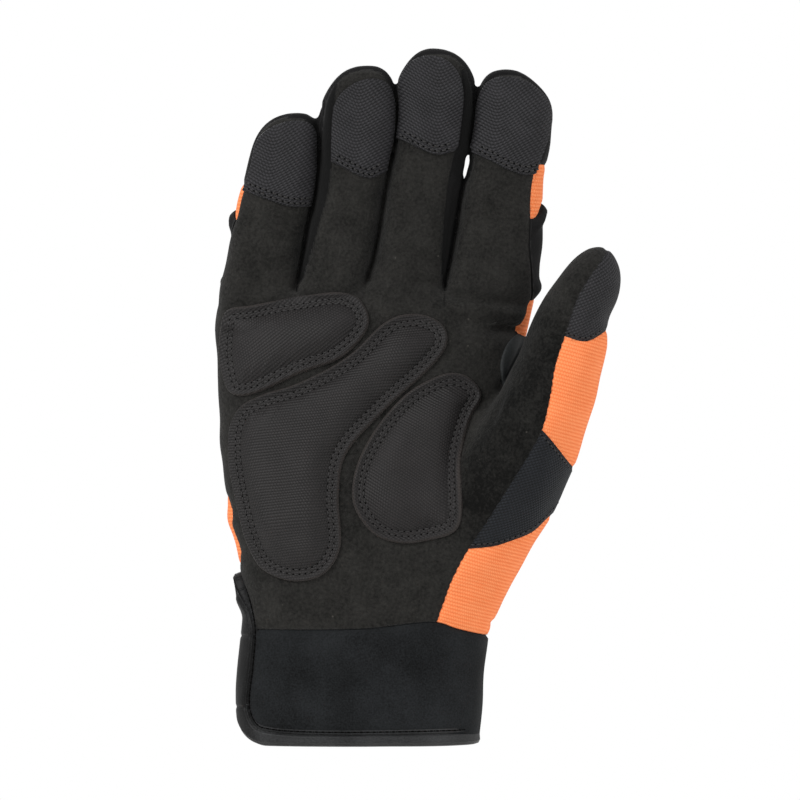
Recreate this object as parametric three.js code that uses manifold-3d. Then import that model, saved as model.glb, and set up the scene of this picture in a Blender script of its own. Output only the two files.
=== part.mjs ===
// A right-hand anti-vibration work glove, filled out as it is when worn. Millimetres, +Z up.
// The fingers point up +Z, the palm faces -Y and the thumb is on the +X side.
// The origin is the middle of the wrist opening, where the hand goes in.
import * as THREE from "three";
import { mergeVertices } from "three/addons/utils/BufferGeometryUtils.js";
import Module from "manifold-3d";

const wasm = await Module();
wasm.setup();

// Driving sizes
const WALL = 1.8; // suede or knit with its lining
const CUFF_WALL = 2.4; // foam-backed neoprene
const SEAM_GAP = 0.3; // between two pieces that are sewn together
const FINGER_GAP = 0.6; // between two neighbouring fingers
const FINGER_ROOT = 162; // where the finger fronts are parted from the palm
const PATCH_THICK = 0.9; // textured fabric sewn on the fingertips
const BAND_PROUD = 0.9; // how far the padded knuckle bands stand out
const PAD_FLANGE = 1.3; // a palm pad's sewn edge
const PAD_CROWN = 4.4; // a palm pad over its gel
const PAD_FLANGE_WIDE = 4.5;
const PAD_SLOPE_WIDE = 9;
const PAD_GRID = 5.5;
const CROTCH_THICK = 1;
const TAPE = 0.7; // binding tape
const SLIT = { near: 5, far: 10, top: 62 }; // the wrist slit on the little finger's side
const CORNER = { left: -45.6, radius: 9 }; // the cuff's rounded lower corner beside the slit
const STRAP = { thick: 1.8, tab: 1.2, foot: 13, top: 38, end: 14, round: 10, sewn: -8 };
const SIDEWALL = { front: 5, back: 6, reach: 6, foot: 157, narrow: 166, wide: 200 }; // between the fingers
const THUMB_BACK_SEAM = 8; // how far back the thumb's pieces reach
const HAND_BASE = 26; // below the cuff seam
const FAR = 120; // past everything to the sides, front and back, for the cutters
const LOW = -20; // below everything, for the cutters
const HIGH = 260; // above everything, for the cutters
const SIDE_SPLIT = { little: -38, index: 47, top: 140 }; // where the hand's sides begin
const SLIT_SIDE = -30; // past this x is the little finger's side, with the slit
const LOOP = { left: -60, right: -37 }; // the strap's loop through the slit

// The hand without its fingers, a row for each height, from the wrist opening to the finger crotches.
const BODY = [
  { z: 0, left: -43.4, right: 41.6, front: -20, back: 20 },
  { z: 12, left: -44.2, right: 43, front: -20.5, back: 20.5 },
  { z: 26, left: -43.8, right: 44, front: -20.5, back: 20.5 },
  { z: 40, left: -42.9, right: 45, front: -20, back: 20 },
  { z: 52, left: -43.6, right: 46.4, front: -21, back: 19.5 },
  { z: 62, left: -44.8, right: 49.4, front: -22, back: 19 },
  { z: 74, left: -46.7, right: 52.4, front: -23, back: 18 },
  { z: 88, left: -49.4, right: 55, front: -23, back: 17 },
  { z: 105, left: -51.2, right: 57.5, front: -21.5, back: 16.5 },
  { z: 124, left: -52, right: 59.5, front: -19, back: 16 },
  { z: 140, left: -52.5, right: 60, front: -16.5, back: 15.5 },
  { z: 152, left: -52.6, right: 60.5, front: -14, back: 15 },
  { z: 164, left: -50.6, right: 62, front: -12, back: 14 },
];
const BODY_END = { tip: 165, dome: 9 };
const BODY_HEIGHTS = [14, 40, 62, 88, 115, 140];

// The lines between the fingers, seen from the palm, and the two outer edges.
const FINGER_LINES = [
  { z: 148, outer: -52.6, littleRing: -25.2, ringMiddle: 1, middleIndex: 30, index: 60.2 },
  { z: 165, outer: -50.2, littleRing: -23.2, ringMiddle: 2.2, middleIndex: 31.3, index: 63.9 },
  { z: 175, outer: -48.7, littleRing: -21.4, ringMiddle: 4.9, middleIndex: 32.8, index: 64.4 },
  { z: 185, outer: -47, littleRing: -18.9, ringMiddle: 7, middleIndex: 34.3, index: 65 },
  { z: 196, outer: -45, littleRing: -16.8, ringMiddle: 8.9, middleIndex: 35.9, index: 65.2 },
  { z: 207, outer: -42, littleRing: -16.1, ringMiddle: 10.7, middleIndex: 37.6, index: 66.2 },
  { z: 217, outer: -40, littleRing: -15.8, ringMiddle: 12.3, middleIndex: 39.4, index: 67.6 },
  { z: 228, outer: -38.6, littleRing: -15.7, ringMiddle: 12.8, middleIndex: 40.7, index: 68.6 },
  { z: 240, outer: -37, littleRing: -14.4, ringMiddle: 13.1, middleIndex: 41.2, index: 67.4 },
  { z: 252, outer: -35.5, littleRing: -13, ringMiddle: 13.6, middleIndex: 41.4, index: 66 },
];

// The fingers' shared side view: they curl a little towards the palm.
const FINGER_SIDE = [
  { z: 148, middle: 0.5, half: 13 },
  { z: 165, middle: 0.6, half: 12.4 },
  { z: 185, middle: -0.2, half: 11.7 },
  { z: 205, middle: -2, half: 11.3 },
  { z: 225, middle: -5, half: 10.7 },
  { z: 252, middle: -10.5, half: 10 },
];

// Each finger: the lines that it lies between, its tip, the length of its rounded end, how thick it is
// beside the middle finger, and the heights of the orange cloth and the knuckle band on its back.
const FINGERS = [
  { name: "little", from: "outer", to: "littleRing", tip: 227.5, dome: 15, depth: 0.88, orange: 202 },
  { name: "ring", from: "littleRing", to: "ringMiddle", tip: 244.6, dome: 17, depth: 0.97, orange: 210 },
  { name: "middle", from: "ringMiddle", to: "middleIndex", tip: 250, dome: 17, depth: 1, orange: 215 },
  { name: "index", from: "middleIndex", to: "index", tip: 242.8, dome: 18, depth: 1, orange: 208.5 },
];
const FINGER_HEIGHTS = [150, 165, 185, 205];
const BAND = { foot: 163.5, top: 191.8 };

// The strips between the fingers, and how far each shows on the palm side of its two fingers.
const SIDEWALLS = [
  { name: "little_ring", line: "littleRing", left: 0, right: 4.4, top: 214 },
  { name: "ring_middle", line: "ringMiddle", left: 0, right: 0, top: 230 },
  { name: "middle_index", line: "middleIndex", left: 7.5, right: 0, top: 228 },
];

// The thumb and the ball of the thumb, which stand in front of the palm.
const THUMB = [
  { z: 36, left: 14, right: 42, front: -14, back: 12 },
  { z: 43, left: 13, right: 46.2, front: -15.5, back: 13.5 },
  { z: 56, left: 13, right: 53.3, front: -21.5, back: 14.5 },
  { z: 73, left: 17, right: 62.4, front: -27, back: 13.5 },
  { z: 90, left: 26, right: 73, front: -31, back: 10.5 },
  { z: 108, left: 37, right: 78.8, front: -33.5, back: 5 },
  { z: 125, left: 48.5, right: 84.2, front: -35.5, back: -2 },
  { z: 142, left: 57.2, right: 87.9, front: -37, back: -8 },
  { z: 152, left: 62, right: 88.8, front: -37.5, back: -11 },
  { z: 160, left: 66, right: 91.2, front: -38, back: -13 },
  { z: 168, left: 70.9, right: 92.6, front: -38, back: -14.5 },
  { z: 180, left: 76.9, right: 94.2, front: -38, back: -16 },
];
const THUMB_END = { tip: 179, dome: 16 };
const THUMB_HEIGHTS = [36, 43, 60, 80, 100, 120, 142];

// Where palm side and back meet: side views of the little finger's side, the fingers and the index side.
const SEAM_LITTLE = [
  { z: -20, y: 5 },
  { z: 62, y: 5 },
  { z: 65, y: -4 },
  { z: 71, y: -11 },
  { z: 79, y: -11 },
  { z: 87, y: -5 },
  { z: 93, y: 3 },
  { z: 175, y: 2.6 },
  { z: 184, y: -0.6 },
  { z: 190, y: -5 },
  { z: 205, y: -7.5 },
  { z: 225, y: -8.5 },
  { z: 260, y: -16 },
];
const SEAM_FINGERS = [
  { z: -20, y: -4.5 },
  { z: 165, y: -4.4 },
  { z: 185, y: -5.2 },
  { z: 205, y: -7 },
  { z: 225, y: -10 },
  { z: 260, y: -17 },
];
const SEAM_INDEX = [
  { z: -20, y: 8 },
  { z: 120, y: 8 },
  { z: 136, y: -2 },
  { z: 148, y: -7 },
  { z: 165, y: -8.5 },
  { z: 190, y: -9.7 },
  { z: 206, y: -11 },
  { z: 225, y: -10 },
  { z: 260, y: -17 },
];

// Seams seen from the palm, as [x, z] points.
const THUMB_SEAM = [
  [90, 188], [87, 176], [81.5, 168], [76.9, 160], [72.4, 146.5], [69, 136],
  [67.2, 124.5], [64.4, 113.2], [59.5, 103.9], [51.6, 91.3], [44.4, 79.7], [38.2, 70.4], [32.5, 59.5],
  [29.6, 51.6], [27.1, 43.7], [25.5, 30],
];
const THUMB_FRONT_SEAM = [[28, 136], [46, 127], [56, 117], [66.5, 107]];
const CAP_SEAM = [[58, 152], [66, 149.2], [72.4, 146.5], [80.5, 144.6], [88, 148.6], [98, 154]];
const SADDLE_TOP = [[52, 123.6], [64.6, 112.8], [76.4, 99.2], [88, 84.5]];
const SADDLE_FOOT = [[24, 68], [38.2, 70.4], [49.8, 71.8], [60.6, 76], [67, 81], [76, 91]];
const CUFF_SEAM = [[-60, 41.5], [-39, 41.5], [0, 42], [27, 44.2], [34, 41.8], [46, 39], [60, 37]];
const BINDING_LINE = [
  [70, 4.9], [-32, 4.9], [-38, 6.6], [-41, 13], [-39.8, 28], [-39, 41.5], [-41, 51.6], [-44.2, 62.4],
];

// Fingertip patches: margins beside, above and the lower edge at the left, its lowest place and the right.
const PATCHES = {
  little: { left: 0.4, right: 0.8, top: 2.5, footLeft: 198.8, footLow: 193.4, footRight: 193.6 },
  ring: { left: 4.2, right: 0.8, top: 5, footLeft: 209.6, footLow: 204, footRight: 206 },
  middle: { left: 0.8, right: 7.2, top: 3, footLeft: 218.3, footLow: 212, footRight: 213.2 },
  index: { left: 0.8, right: 1, top: 3, footLeft: 213, footLow: 204.8, footRight: 206 },
};

// The palm pads, seen from the palm: a smooth closed line through each outline's [x, z] points.
const PADS = {
  pad_finger_roots: [
    [-47.6, 155.8], [-40, 157.7], [-22.4, 160.9], [-6.9, 162.4], [0, 158.8], [2.5, 151.5],
    [-5.8, 140], [-22.4, 133.5], [-40, 126.2], [-45.2, 127], [-49, 135.5], [-50, 146],
  ],
  pad_palm: [
    [7.6, 151.2], [14.4, 154.3], [23.1, 154.1], [29.6, 150], [30.6, 144], [26.3, 137.1],
    [8.7, 120.5], [-5.8, 103.9], [-8.2, 90], [-7.9, 70], [-14, 61.2], [-24.5, 58.8], [-35.6, 63],
    [-41, 72], [-45.4, 92], [-46.4, 106], [-44.8, 116.2], [-36.8, 124.6], [-22.4, 129.9], [-4.3, 140],
  ],
  pad_thumb_ball: [
    [32.1, 133.5], [38.5, 131.8], [43, 125.6], [39.3, 117.3], [35.8, 104], [35.4, 80.2],
    [32.5, 76.2], [24.2, 73.6], [14.4, 72.5], [4.6, 75.6], [-2.9, 86.2], [-2.6, 97.5],
    [3.2, 110.8], [15.5, 125.6], [24.2, 131],
  ],
};
const CROTCH_PATCH = [[55.9, 146.8], [51.6, 143.6], [49.8, 136.4], [50.9, 129.2], [53.4, 125], [59, 132]];

// Materials
const cloth = (color, roughness) => new THREE.MeshStandardMaterial({ color, roughness, metalness: 0 });
const SUEDE = cloth("#201f1d", 0.95);
const STRETCH = cloth("#17171a", 0.85);
const TEXTURED = cloth("#2b2b2d", 0.7);
const ORANGE_KNIT = cloth("#ff7a3c", 0.8);
const NEOPRENE = cloth("#16181b", 0.9);
const TAPE_CLOTH = cloth("#26282b", 0.6);

// A smooth curve through one column of a table, as a function of height.
function curveOf(table, column) {
  const at = table.map((row) => row.z);
  const value = table.map((row) => row[column]);
  const slope = value.map((v, i) => {
    const a = Math.max(0, i - 1);
    const b = Math.min(value.length - 1, i + 1);
    return (value[b] - value[a]) / (at[b] - at[a]);
  });
  return (z) => {
    const above = at.findIndex((height) => height > z);
    const i = above < 0 ? at.length - 2 : Math.max(0, above - 1);
    const step = at[i + 1] - at[i];
    const t = THREE.MathUtils.clamp((z - at[i]) / step, 0, 1);
    const s = t * t * (3 - 2 * t);
    const bend = t * (1 - t) * step * ((1 - t) * slope[i] - t * slope[i + 1]);
    return value[i] * (1 - s) + value[i + 1] * s + bend;
  };
}

// A solid from a closed three.js geometry, for cutting and joining.
function solidOf(geometry) {
  const bare = geometry.index ? geometry.toNonIndexed() : geometry.clone();
  bare.deleteAttribute("normal");
  bare.deleteAttribute("uv");
  const merged = mergeVertices(bare, 1e-4);
  return new wasm.Manifold(new wasm.Mesh({
    numProp: 3,
    vertProperties: new Float32Array(merged.attributes.position.array),
    triVerts: new Uint32Array(merged.index.array),
  }));
}

function geometryOf(solid) {
  const mesh = solid.getMesh();
  const geometry = new THREE.BufferGeometry();
  geometry.setAttribute("position", new THREE.BufferAttribute(mesh.vertProperties, 3));
  geometry.setIndex(new THREE.BufferAttribute(mesh.triVerts, 1));
  return geometry;
}

// A closed skin over a stack of rings of equal length, with a fan over each end.
function loft(rings) {
  const points = rings.flat();
  const count = rings[0].length;
  const faces = [];
  for (let level = 0; level < rings.length - 1; level++) {
    for (let i = 0; i < count; i++) {
      const a = level * count + i;
      const b = level * count + ((i + 1) % count);
      faces.push(a, b, b + count, a, b + count, a + count);
    }
  }
  for (const [level, turned] of [[0, true], [rings.length - 1, false]]) {
    const centre = [0, 1, 2].map((k) => rings[level].reduce((sum, p) => sum + p[k], 0) / count);
    const hub = points.push(centre) - 1;
    for (let i = 0; i < count; i++) {
      const a = level * count + i;
      const b = level * count + ((i + 1) % count);
      faces.push(...(turned ? [b, a, hub] : [a, b, hub]));
    }
  }
  const geometry = new THREE.BufferGeometry();
  geometry.setAttribute("position", new THREE.Float32BufferAttribute(points.flat(), 3));
  geometry.setIndex(faces);
  return solidOf(geometry);
}

// One level ring: a rounded box. A higher square makes its corners squarer.
function ring(z, middle, half, count, square) {
  const power = (v) => Math.sign(v) * Math.abs(v) ** (2 / square);
  return Array.from({ length: count }, (_, i) => {
    const turn = (2 * Math.PI * (i + 0.5)) / count;
    return [middle.x + half.x * power(Math.cos(turn)), middle.y + half.y * power(Math.sin(turn)), z];
  });
}

// A limb from its four edge curves: rings up to the shoulder of its dome, then the dome to its tip.
function limb({ edges, base, heights, end, count, square, grow }) {
  const shoulder = end.tip - end.dome;
  const rings = [];
  const add = (z, share) => {
    const at = Math.min(z, end.tip);
    const [left, right, front, back] = edges.map((edge) => edge(at));
    const half = { x: ((right - left) / 2 + grow) * share, y: ((back - front) / 2 + grow) * share };
    rings.push(ring(z, { x: (left + right) / 2, y: (front + back) / 2 }, half, count, square));
  };
  for (const z of [base, ...heights.filter((height) => height > base && height < shoulder - 2)]) add(z, 1);
  const domeSteps = 4;
  for (let i = 0; i <= domeSteps; i++) {
    const turn = 1.46 * (i / domeSteps);
    add(shoulder + (end.dome + grow) * Math.sin(turn) ** 0.9, Math.cos(turn) ** 0.9);
  }
  return loft(rings);
}

const fingerMiddle = curveOf(FINGER_SIDE, "middle");
const fingerHalf = curveOf(FINGER_SIDE, "half");
const sides = (table) => ["left", "right", "front", "back"].map((column) => curveOf(table, column));

function fingerEdges(f) {
  const from = curveOf(FINGER_LINES, f.from);
  const to = curveOf(FINGER_LINES, f.to);
  const gap = (column) => (column === "outer" || column === "index" ? 0 : FINGER_GAP / 2);
  return [
    (z) => from(z) + gap(f.from),
    (z) => to(z) - gap(f.to),
    (z) => fingerMiddle(z) - fingerHalf(z) * f.depth,
    (z) => fingerMiddle(z) + fingerHalf(z) * f.depth,
  ];
}

// The three kinds of limb. A grown one is larger all round, and one grown by less than 0 is smaller.
function finger(f, grow) {
  const shape = { edges: fingerEdges(f), heights: FINGER_HEIGHTS, end: f, count: 14, square: 2.5 };
  return limb({ ...shape, base: FINGER_HEIGHTS[0], grow });
}

function body(grow, base) {
  const shape = { edges: sides(BODY), heights: BODY_HEIGHTS, end: BODY_END, count: 24, square: 2.35 };
  return limb({ ...shape, base, grow });
}

function thumb(grow) {
  const shape = { edges: sides(THUMB), heights: THUMB_HEIGHTS, end: THUMB_END, count: 16, square: 2.15 };
  return limb({ ...shape, base: THUMB_HEIGHTS[0] - grow, grow });
}

function hand(grow, base) {
  return wasm.Manifold.union([body(grow, base), thumb(grow), ...FINGERS.map((f) => finger(f, grow))]);
}

// A layer over the hand's skin, between two distances from it.
function layer(shape, inner, outer, base = 0) {
  return shape(outer, base).subtract(shape(inner, base - 10));
}

// A prism seen from the palm, with an [x, z] outline, between two depths.
function prism(outline, near = -FAR, far = FAR) {
  const shape = new THREE.Shape(outline.map(([x, z]) => new THREE.Vector2(x, z)));
  const geometry = new THREE.ExtrudeGeometry(shape, { depth: far - near, bevelEnabled: false });
  geometry.rotateX(Math.PI / 2);
  geometry.translate(0, far, 0);
  return solidOf(geometry);
}

// A prism seen from the side, with a [y, z] outline, right across the hand.
function sidePrism(outline) {
  const shape = new THREE.Shape(outline.map(([y, z]) => new THREE.Vector2(y, z)));
  const geometry = new THREE.ExtrudeGeometry(shape, { depth: 2 * FAR, bevelEnabled: false });
  geometry.applyMatrix4(new THREE.Matrix4().set(0, 0, 1, -FAR, 1, 0, 0, 0, 0, 1, 0, 0, 0, 0, 0, 1));
  return solidOf(geometry);
}

const slab = (foot, top) => prism([[-FAR, foot], [FAR, foot], [FAR, top], [-FAR, top]]);

// A smooth line through a few points, open or closed.
function smooth(points, steps, closed = false) {
  const curve = new THREE.CatmullRomCurve3(points.map(([x, z]) => new THREE.Vector3(x, 0, z)), closed);
  const line = curve.getSpacedPoints(steps).map((p) => [p.x, p.z]);
  return closed ? line.slice(0, -1) : line;
}

// The narrow strip on both sides of a line, which parts two sewn pieces.
function strip(line) {
  const edges = [[], []];
  line.forEach((p, i) => {
    const a = line[Math.max(0, i - 1)];
    const b = line[Math.min(line.length - 1, i + 1)];
    const share = SEAM_GAP / 2 / Math.hypot(b[0] - a[0], b[1] - a[1]);
    const across = [(a[1] - b[1]) * share, (b[0] - a[0]) * share];
    edges[0].push([p[0] + across[0], p[1] + across[1]]);
    edges[1].unshift([p[0] - across[0], p[1] - across[1]]);
  });
  return edges.flat();
}

const cutAlong = (line, near, far) => prism(strip(line), near, far);
const sideLine = (table) => table.map((row) => [row.y, row.z]);
const frontOf = (line) => sidePrism([[-FAR, HIGH], [-FAR, LOW], ...line]);

// The hand's regions across its width: the little finger's outer half, the index's, and all between.
function regions() {
  const { lerp } = THREE.MathUtils;
  // just beside the middle, clear of the points of the finger's own rings
  const centre = (from, to) => FINGER_LINES.map((row) => [lerp(row[from], row[to], 0.46), row.z]);
  const line = (x, middles) => [[x, LOW], [x, SIDE_SPLIT.top], ...middles, [middles.at(-1)[0], HIGH]];
  const little = line(SIDE_SPLIT.little, centre("outer", "littleRing"));
  const index = line(SIDE_SPLIT.index, centre("middleIndex", "index"));
  return [
    { zone: prism([[-FAR, LOW], ...little, [-FAR, HIGH]]), seam: sideLine(SEAM_LITTLE) },
    { zone: prism([...little, ...index.toReversed()]), seam: sideLine(SEAM_FINGERS) },
    { zone: prism([...index, [FAR, HIGH], [FAR, LOW]]), seam: sideLine(SEAM_INDEX) },
  ];
}

const thumbSeam = smooth(THUMB_SEAM, 13);
const cuffSeam = smooth(CUFF_SEAM, 8);
const parts = regions();
const frontZone = wasm.Manifold.union(parts.map((p) => p.zone.intersect(frontOf(p.seam))));
const sideSeams = wasm.Manifold.union(parts.map((p) => p.zone.intersect(sidePrism(strip(p.seam)))));
const aboveCuff = prism([...cuffSeam, [FAR, cuffSeam.at(-1)[1]], [FAR, HIGH], [cuffSeam[0][0], HIGH]]);
const rightOfThumbSeam = prism(
  [...thumbSeam, [FAR, thumbSeam.at(-1)[1]], [FAR, thumbSeam[0][1]]], -FAR, THUMB_BACK_SEAM,
);
const above = (seam, steps) => prism(
  [...smooth(seam, steps), [FAR, seam.at(-1)[1]], [FAR, HIGH], [seam[0][0], HIGH]],
);
const aboveThumbFrontSeam = above(THUMB_FRONT_SEAM, 4);
const slitGap = sidePrism([[SLIT.near, LOW], [SLIT.far, LOW], [SLIT.far, SLIT.top], [SLIT.near, SLIT.top]])
  .intersect(prism([[-FAR, LOW], [SLIT_SIDE, LOW], [SLIT_SIDE, SLIT.top], [-FAR, SLIT.top]]));

// The glove's wall above the cuff, parted along its main seams
const wall = layer(hand, -WALL, 0, HAND_BASE)
  .intersect(aboveCuff)
  .subtract(wasm.Manifold.union([
    sideSeams,
    slitGap,
    cutAlong(cuffSeam),
    cutAlong(thumbSeam, -FAR, THUMB_BACK_SEAM),
  ]));
const frontWall = wall.intersect(frontZone);
const backWall = wall.subtract(frontZone);

// The widest piece of a cut, without the crumbs that a cut may leave.
function main(solid) {
  return solid.decompose().reduce((a, b) => (a.volume() > b.volume() ? a : b));
}

// The strip between two fingers, with a margin, as a cutter.
function sidewallZone({ line, left, right, top }, margin) {
  const border = curveOf(FINGER_LINES, line);
  const heights = [SIDEWALL.foot, SIDEWALL.narrow, 180, SIDEWALL.wide, top];
  const band = (near, far) => prism([
    ...heights.map((z) => [border(z) - near(z), z]),
    ...heights.toReversed().map((z) => [border(z) + far(z), z]),
  ]);
  const reach = () => SIDEWALL.reach + margin;
  const side = sideLine(FINGER_SIDE.map((row) => ({ z: row.z, y: row.middle })));
  const between = sidePrism([
    ...side.map(([y, z]) => [y - SIDEWALL.front - margin, z]),
    ...side.toReversed().map(([y, z]) => [y + SIDEWALL.back + margin, z]),
  ]);
  const shown = (wide) => (z) => {
    const rise = (z - SIDEWALL.narrow) / (SIDEWALL.wide - SIDEWALL.narrow);
    const share = THREE.MathUtils.clamp(rise, 0, 1);
    return wide > 0 ? wide * Math.sqrt(share) + margin : 0;
  };
  const hidden = band(reach, reach).intersect(between);
  if (left + right === 0) return hidden;
  return hidden.add(band(shown(left), shown(right)).intersect(frontOf(sideLine(SEAM_FINGERS))));
}

// One finger's region, from the line on its one side to the line on its other.
function fingerZone(f) {
  const edge = (column) => FINGER_LINES.slice(0, -1).map((row) => [row[column], row.z]);
  const past = (x) => [[x, FINGER_LINES[0].z], [x, HIGH]];
  const left = f.from === "outer" ? past(-FAR) : [...edge(f.from), [edge(f.from).at(-1)[0], HIGH]];
  const right = f.to === "index" ? past(FAR) : [...edge(f.to), [edge(f.to).at(-1)[0], HIGH]];
  const gaps = [f.from, f.to].filter((c) => c !== "outer" && c !== "index").map((c) => cutAlong(edge(c)));
  return prism([...left, ...right.toReversed()]).subtract(wasm.Manifold.union(gaps));
}

const nodes = new THREE.Group();

function addNode(name, solid, material) {
  const mesh = new THREE.Mesh(geometryOf(main(solid)), material);
  mesh.name = name;
  nodes.add(mesh);
}

// The suede palm side, and the orange back of the hand
const sidewallGaps = wasm.Manifold.union(SIDEWALLS.map((s) => sidewallZone(s, SEAM_GAP)));
const thumbCut = thumb(SEAM_GAP).intersect(aboveThumbFrontSeam);
const palmSide = frontWall.subtract(rightOfThumbSeam).subtract(thumbCut).subtract(sidewallGaps);
addNode("palm_panel", palmSide.intersect(slab(0, FINGER_ROOT - SEAM_GAP)), SUEDE);
addNode("hand_back", backWall.subtract(sidewallGaps).intersect(slab(0, BAND.foot - SEAM_GAP)), ORANGE_KNIT);

for (const f of FINGERS) {
  const zone = fingerZone(f);
  const front = palmSide.intersect(zone).intersect(slab(FINGER_ROOT, HIGH));
  addNode(`finger_front_${f.name}`, front, SUEDE);
  const back = backWall.subtract(sidewallGaps).intersect(zone);
  addNode(`tip_back_${f.name}`, back.intersect(slab(f.orange, HIGH)), STRETCH);
  addNode(`finger_back_${f.name}`, back.intersect(slab(BAND.top, f.orange - SEAM_GAP)), ORANGE_KNIT);
  const padded = layer((grow) => finger(f, grow), -WALL, BAND_PROUD)
    .intersect(zone)
    .subtract(frontZone)
    .subtract(sideSeams)
    .subtract(sidewallGaps);
  addNode(`knuckle_band_${f.name}`, padded.intersect(slab(BAND.foot, BAND.top - SEAM_GAP)), STRETCH);
}

// The strips between the fingers
for (const s of SIDEWALLS) {
  addNode(`sidewall_${s.name}`, layer(hand, -WALL, 0, HAND_BASE).intersect(sidewallZone(s, 0)), STRETCH);
}

// The thumb
const thumbBack = frontWall.intersect(rightOfThumbSeam);
const capZone = above(CAP_SEAM, 5);
const saddleZone = above(SADDLE_FOOT, 5);
const thumbBackZone = above(SADDLE_TOP, 5);
const thumbGaps = wasm.Manifold.union(
  [CAP_SEAM, SADDLE_TOP, SADDLE_FOOT].map((seam) => cutAlong(smooth(seam, 5))),
);
const thumbPieces = thumbBack.subtract(thumbGaps);
const thumbFront = frontWall.intersect(thumb(0.01)).intersect(aboveThumbFrontSeam).subtract(rightOfThumbSeam);
addNode("thumb_front", thumbFront.subtract(cutAlong(smooth(THUMB_FRONT_SEAM, 4))), SUEDE);
addNode("thumb_cap", thumbPieces.intersect(capZone), TEXTURED);
addNode("thumb_back", thumbPieces.subtract(capZone).intersect(thumbBackZone), ORANGE_KNIT);
const saddle = thumbPieces.subtract(thumbBackZone).subtract(capZone).intersect(saddleZone);
addNode("thumb_saddle", saddle, TEXTURED);
addNode("thumb_root", thumbPieces.subtract(saddleZone), ORANGE_KNIT);

// Fingertip patches: the outline follows the fingertip and has a slanted, curved lower edge.
function patchOutline(f, p) {
  const [left, right] = fingerEdges(f);
  const shoulder = f.tip - f.dome;
  const dome = Array.from({ length: 7 }, (_, i) => {
    const turn = (Math.PI * i) / 6;
    const z = shoulder + (f.dome - p.top) * Math.sin(turn) ** 0.9;
    const middle = (left(z) + p.left + right(z) - p.right) / 2;
    const half = (right(z) - p.right - left(z) - p.left) / 2;
    return [middle + half * Math.sign(Math.cos(turn)) * Math.abs(Math.cos(turn)) ** 0.9, z];
  });
  const rise = (foot, edge) => [0, 0.5].map((t) => {
    const z = foot + (shoulder - foot) * t;
    return [edge(z), z];
  });
  const up = rise(p.footRight, (z) => right(z) - p.right);
  const down = rise(p.footLeft, (z) => left(z) + p.left).toReversed();
  const low = [down.at(-1)[0] * 0.3 + up[0][0] * 0.7, p.footLow];
  const foot = smooth([down.at(-1), low, up[0]], 4).slice(1, -1);
  return [...up, ...dome, ...down, ...foot];
}

for (const f of FINGERS) {
  const cover = layer((grow) => finger(f, grow), SEAM_GAP, SEAM_GAP + PATCH_THICK);
  const zone = prism(patchOutline(f, PATCHES[f.name]), -FAR, 2).intersect(frontOf(sideLine(SEAM_FINGERS)));
  addNode(`tip_patch_${f.name}`, cover.intersect(zone), TEXTURED);
}

// A palm pad: a thin sewn edge that slopes up to a crown, over the palm's own shape.
const palmMesh = new THREE.Mesh(geometryOf(hand(0, 0)), new THREE.MeshBasicMaterial());
const palmRay = new THREE.Raycaster();

function palmFront(x, z) {
  palmRay.set(new THREE.Vector3(x, -FAR, z), new THREE.Vector3(0, 1, 0));
  const hit = palmRay.intersectObject(palmMesh)[0];
  return hit ? hit.point.y : 0;
}

function distanceInside(outline, x, z) {
  const at = new THREE.Vector3(x, 0, z);
  const nearest = new THREE.Vector3();
  const distances = outline.map((p, i) => {
    const next = outline[(i + 1) % outline.length];
    const edge = new THREE.Line3(new THREE.Vector3(p[0], 0, p[1]), new THREE.Vector3(next[0], 0, next[1]));
    return edge.closestPointToPoint(at, true, nearest).distanceTo(at);
  });
  return Math.min(...distances);
}

function isInside(outline, x, z) {
  let inside = false;
  outline.forEach(([ax, az], i) => {
    const [bx, bz] = outline[(i + 1) % outline.length];
    if (az > z !== bz > z && x < ((bx - ax) * (z - az)) / (bz - az) + ax) inside = !inside;
  });
  return inside;
}

function pad(outline) {
  const thickness = (x, z) => {
    if (!isInside(outline, x, z)) return PAD_FLANGE;
    const slope = (distanceInside(outline, x, z) - PAD_FLANGE_WIDE) / PAD_SLOPE_WIDE;
    const rise = Math.sin((Math.PI / 2) * THREE.MathUtils.clamp(slope, 0, 1));
    return PAD_FLANGE + (PAD_CROWN - PAD_FLANGE) * rise;
  };
  const span = (k) => [Math.min(...outline.map((p) => p[k])) - 1, Math.max(...outline.map((p) => p[k])) + 1];
  const [[left, right], [foot, top]] = [span(0), span(1)];
  const across = Math.ceil((right - left) / PAD_GRID);
  const high = Math.ceil((top - foot) / PAD_GRID);
  const rings = Array.from({ length: high + 1 }, (_, j) => {
    const z = foot + ((top - foot) * j) / high;
    const xs = Array.from({ length: across + 1 }, (_, i) => left + ((right - left) * i) / across);
    const front = xs.map((x) => [x, palmFront(x, z) - SEAM_GAP - thickness(x, z), z]);
    const back = xs.toReversed().map((x) => [x, palmFront(x, z) + 8, z]);
    return [...front, ...back];
  });
  return loft(rings).intersect(prism(outline)).subtract(hand(SEAM_GAP, 0));
}

for (const [name, points] of Object.entries(PADS)) {
  addNode(name, pad(smooth(points, 26, true)), TEXTURED);
}
const crotchZone = prism(smooth(CROTCH_PATCH, 12, true), -FAR, 0);
const crotch = layer(body, SEAM_GAP, SEAM_GAP + CROTCH_THICK, 60).intersect(crotchZone);
addNode("crotch_patch", crotch.subtract(thumb(SEAM_GAP)).subtract(finger(FINGERS[3], SEAM_GAP)), STRETCH);

// The cuff, the tape that binds its edges, and the strap that closes its slit
function insideCorner(inset) {
  const { left, radius } = CORNER;
  const arc = Array.from({ length: 5 }, (_, i) => {
    const turn = (Math.PI / 2) * (i / 4);
    const reach = radius - inset;
    return [left + radius - reach * Math.sin(turn), radius - reach * Math.cos(turn)];
  });
  return prism([[FAR, inset], ...arc, [-FAR, radius], [-FAR, HIGH], [FAR, HIGH]]);
}

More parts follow.
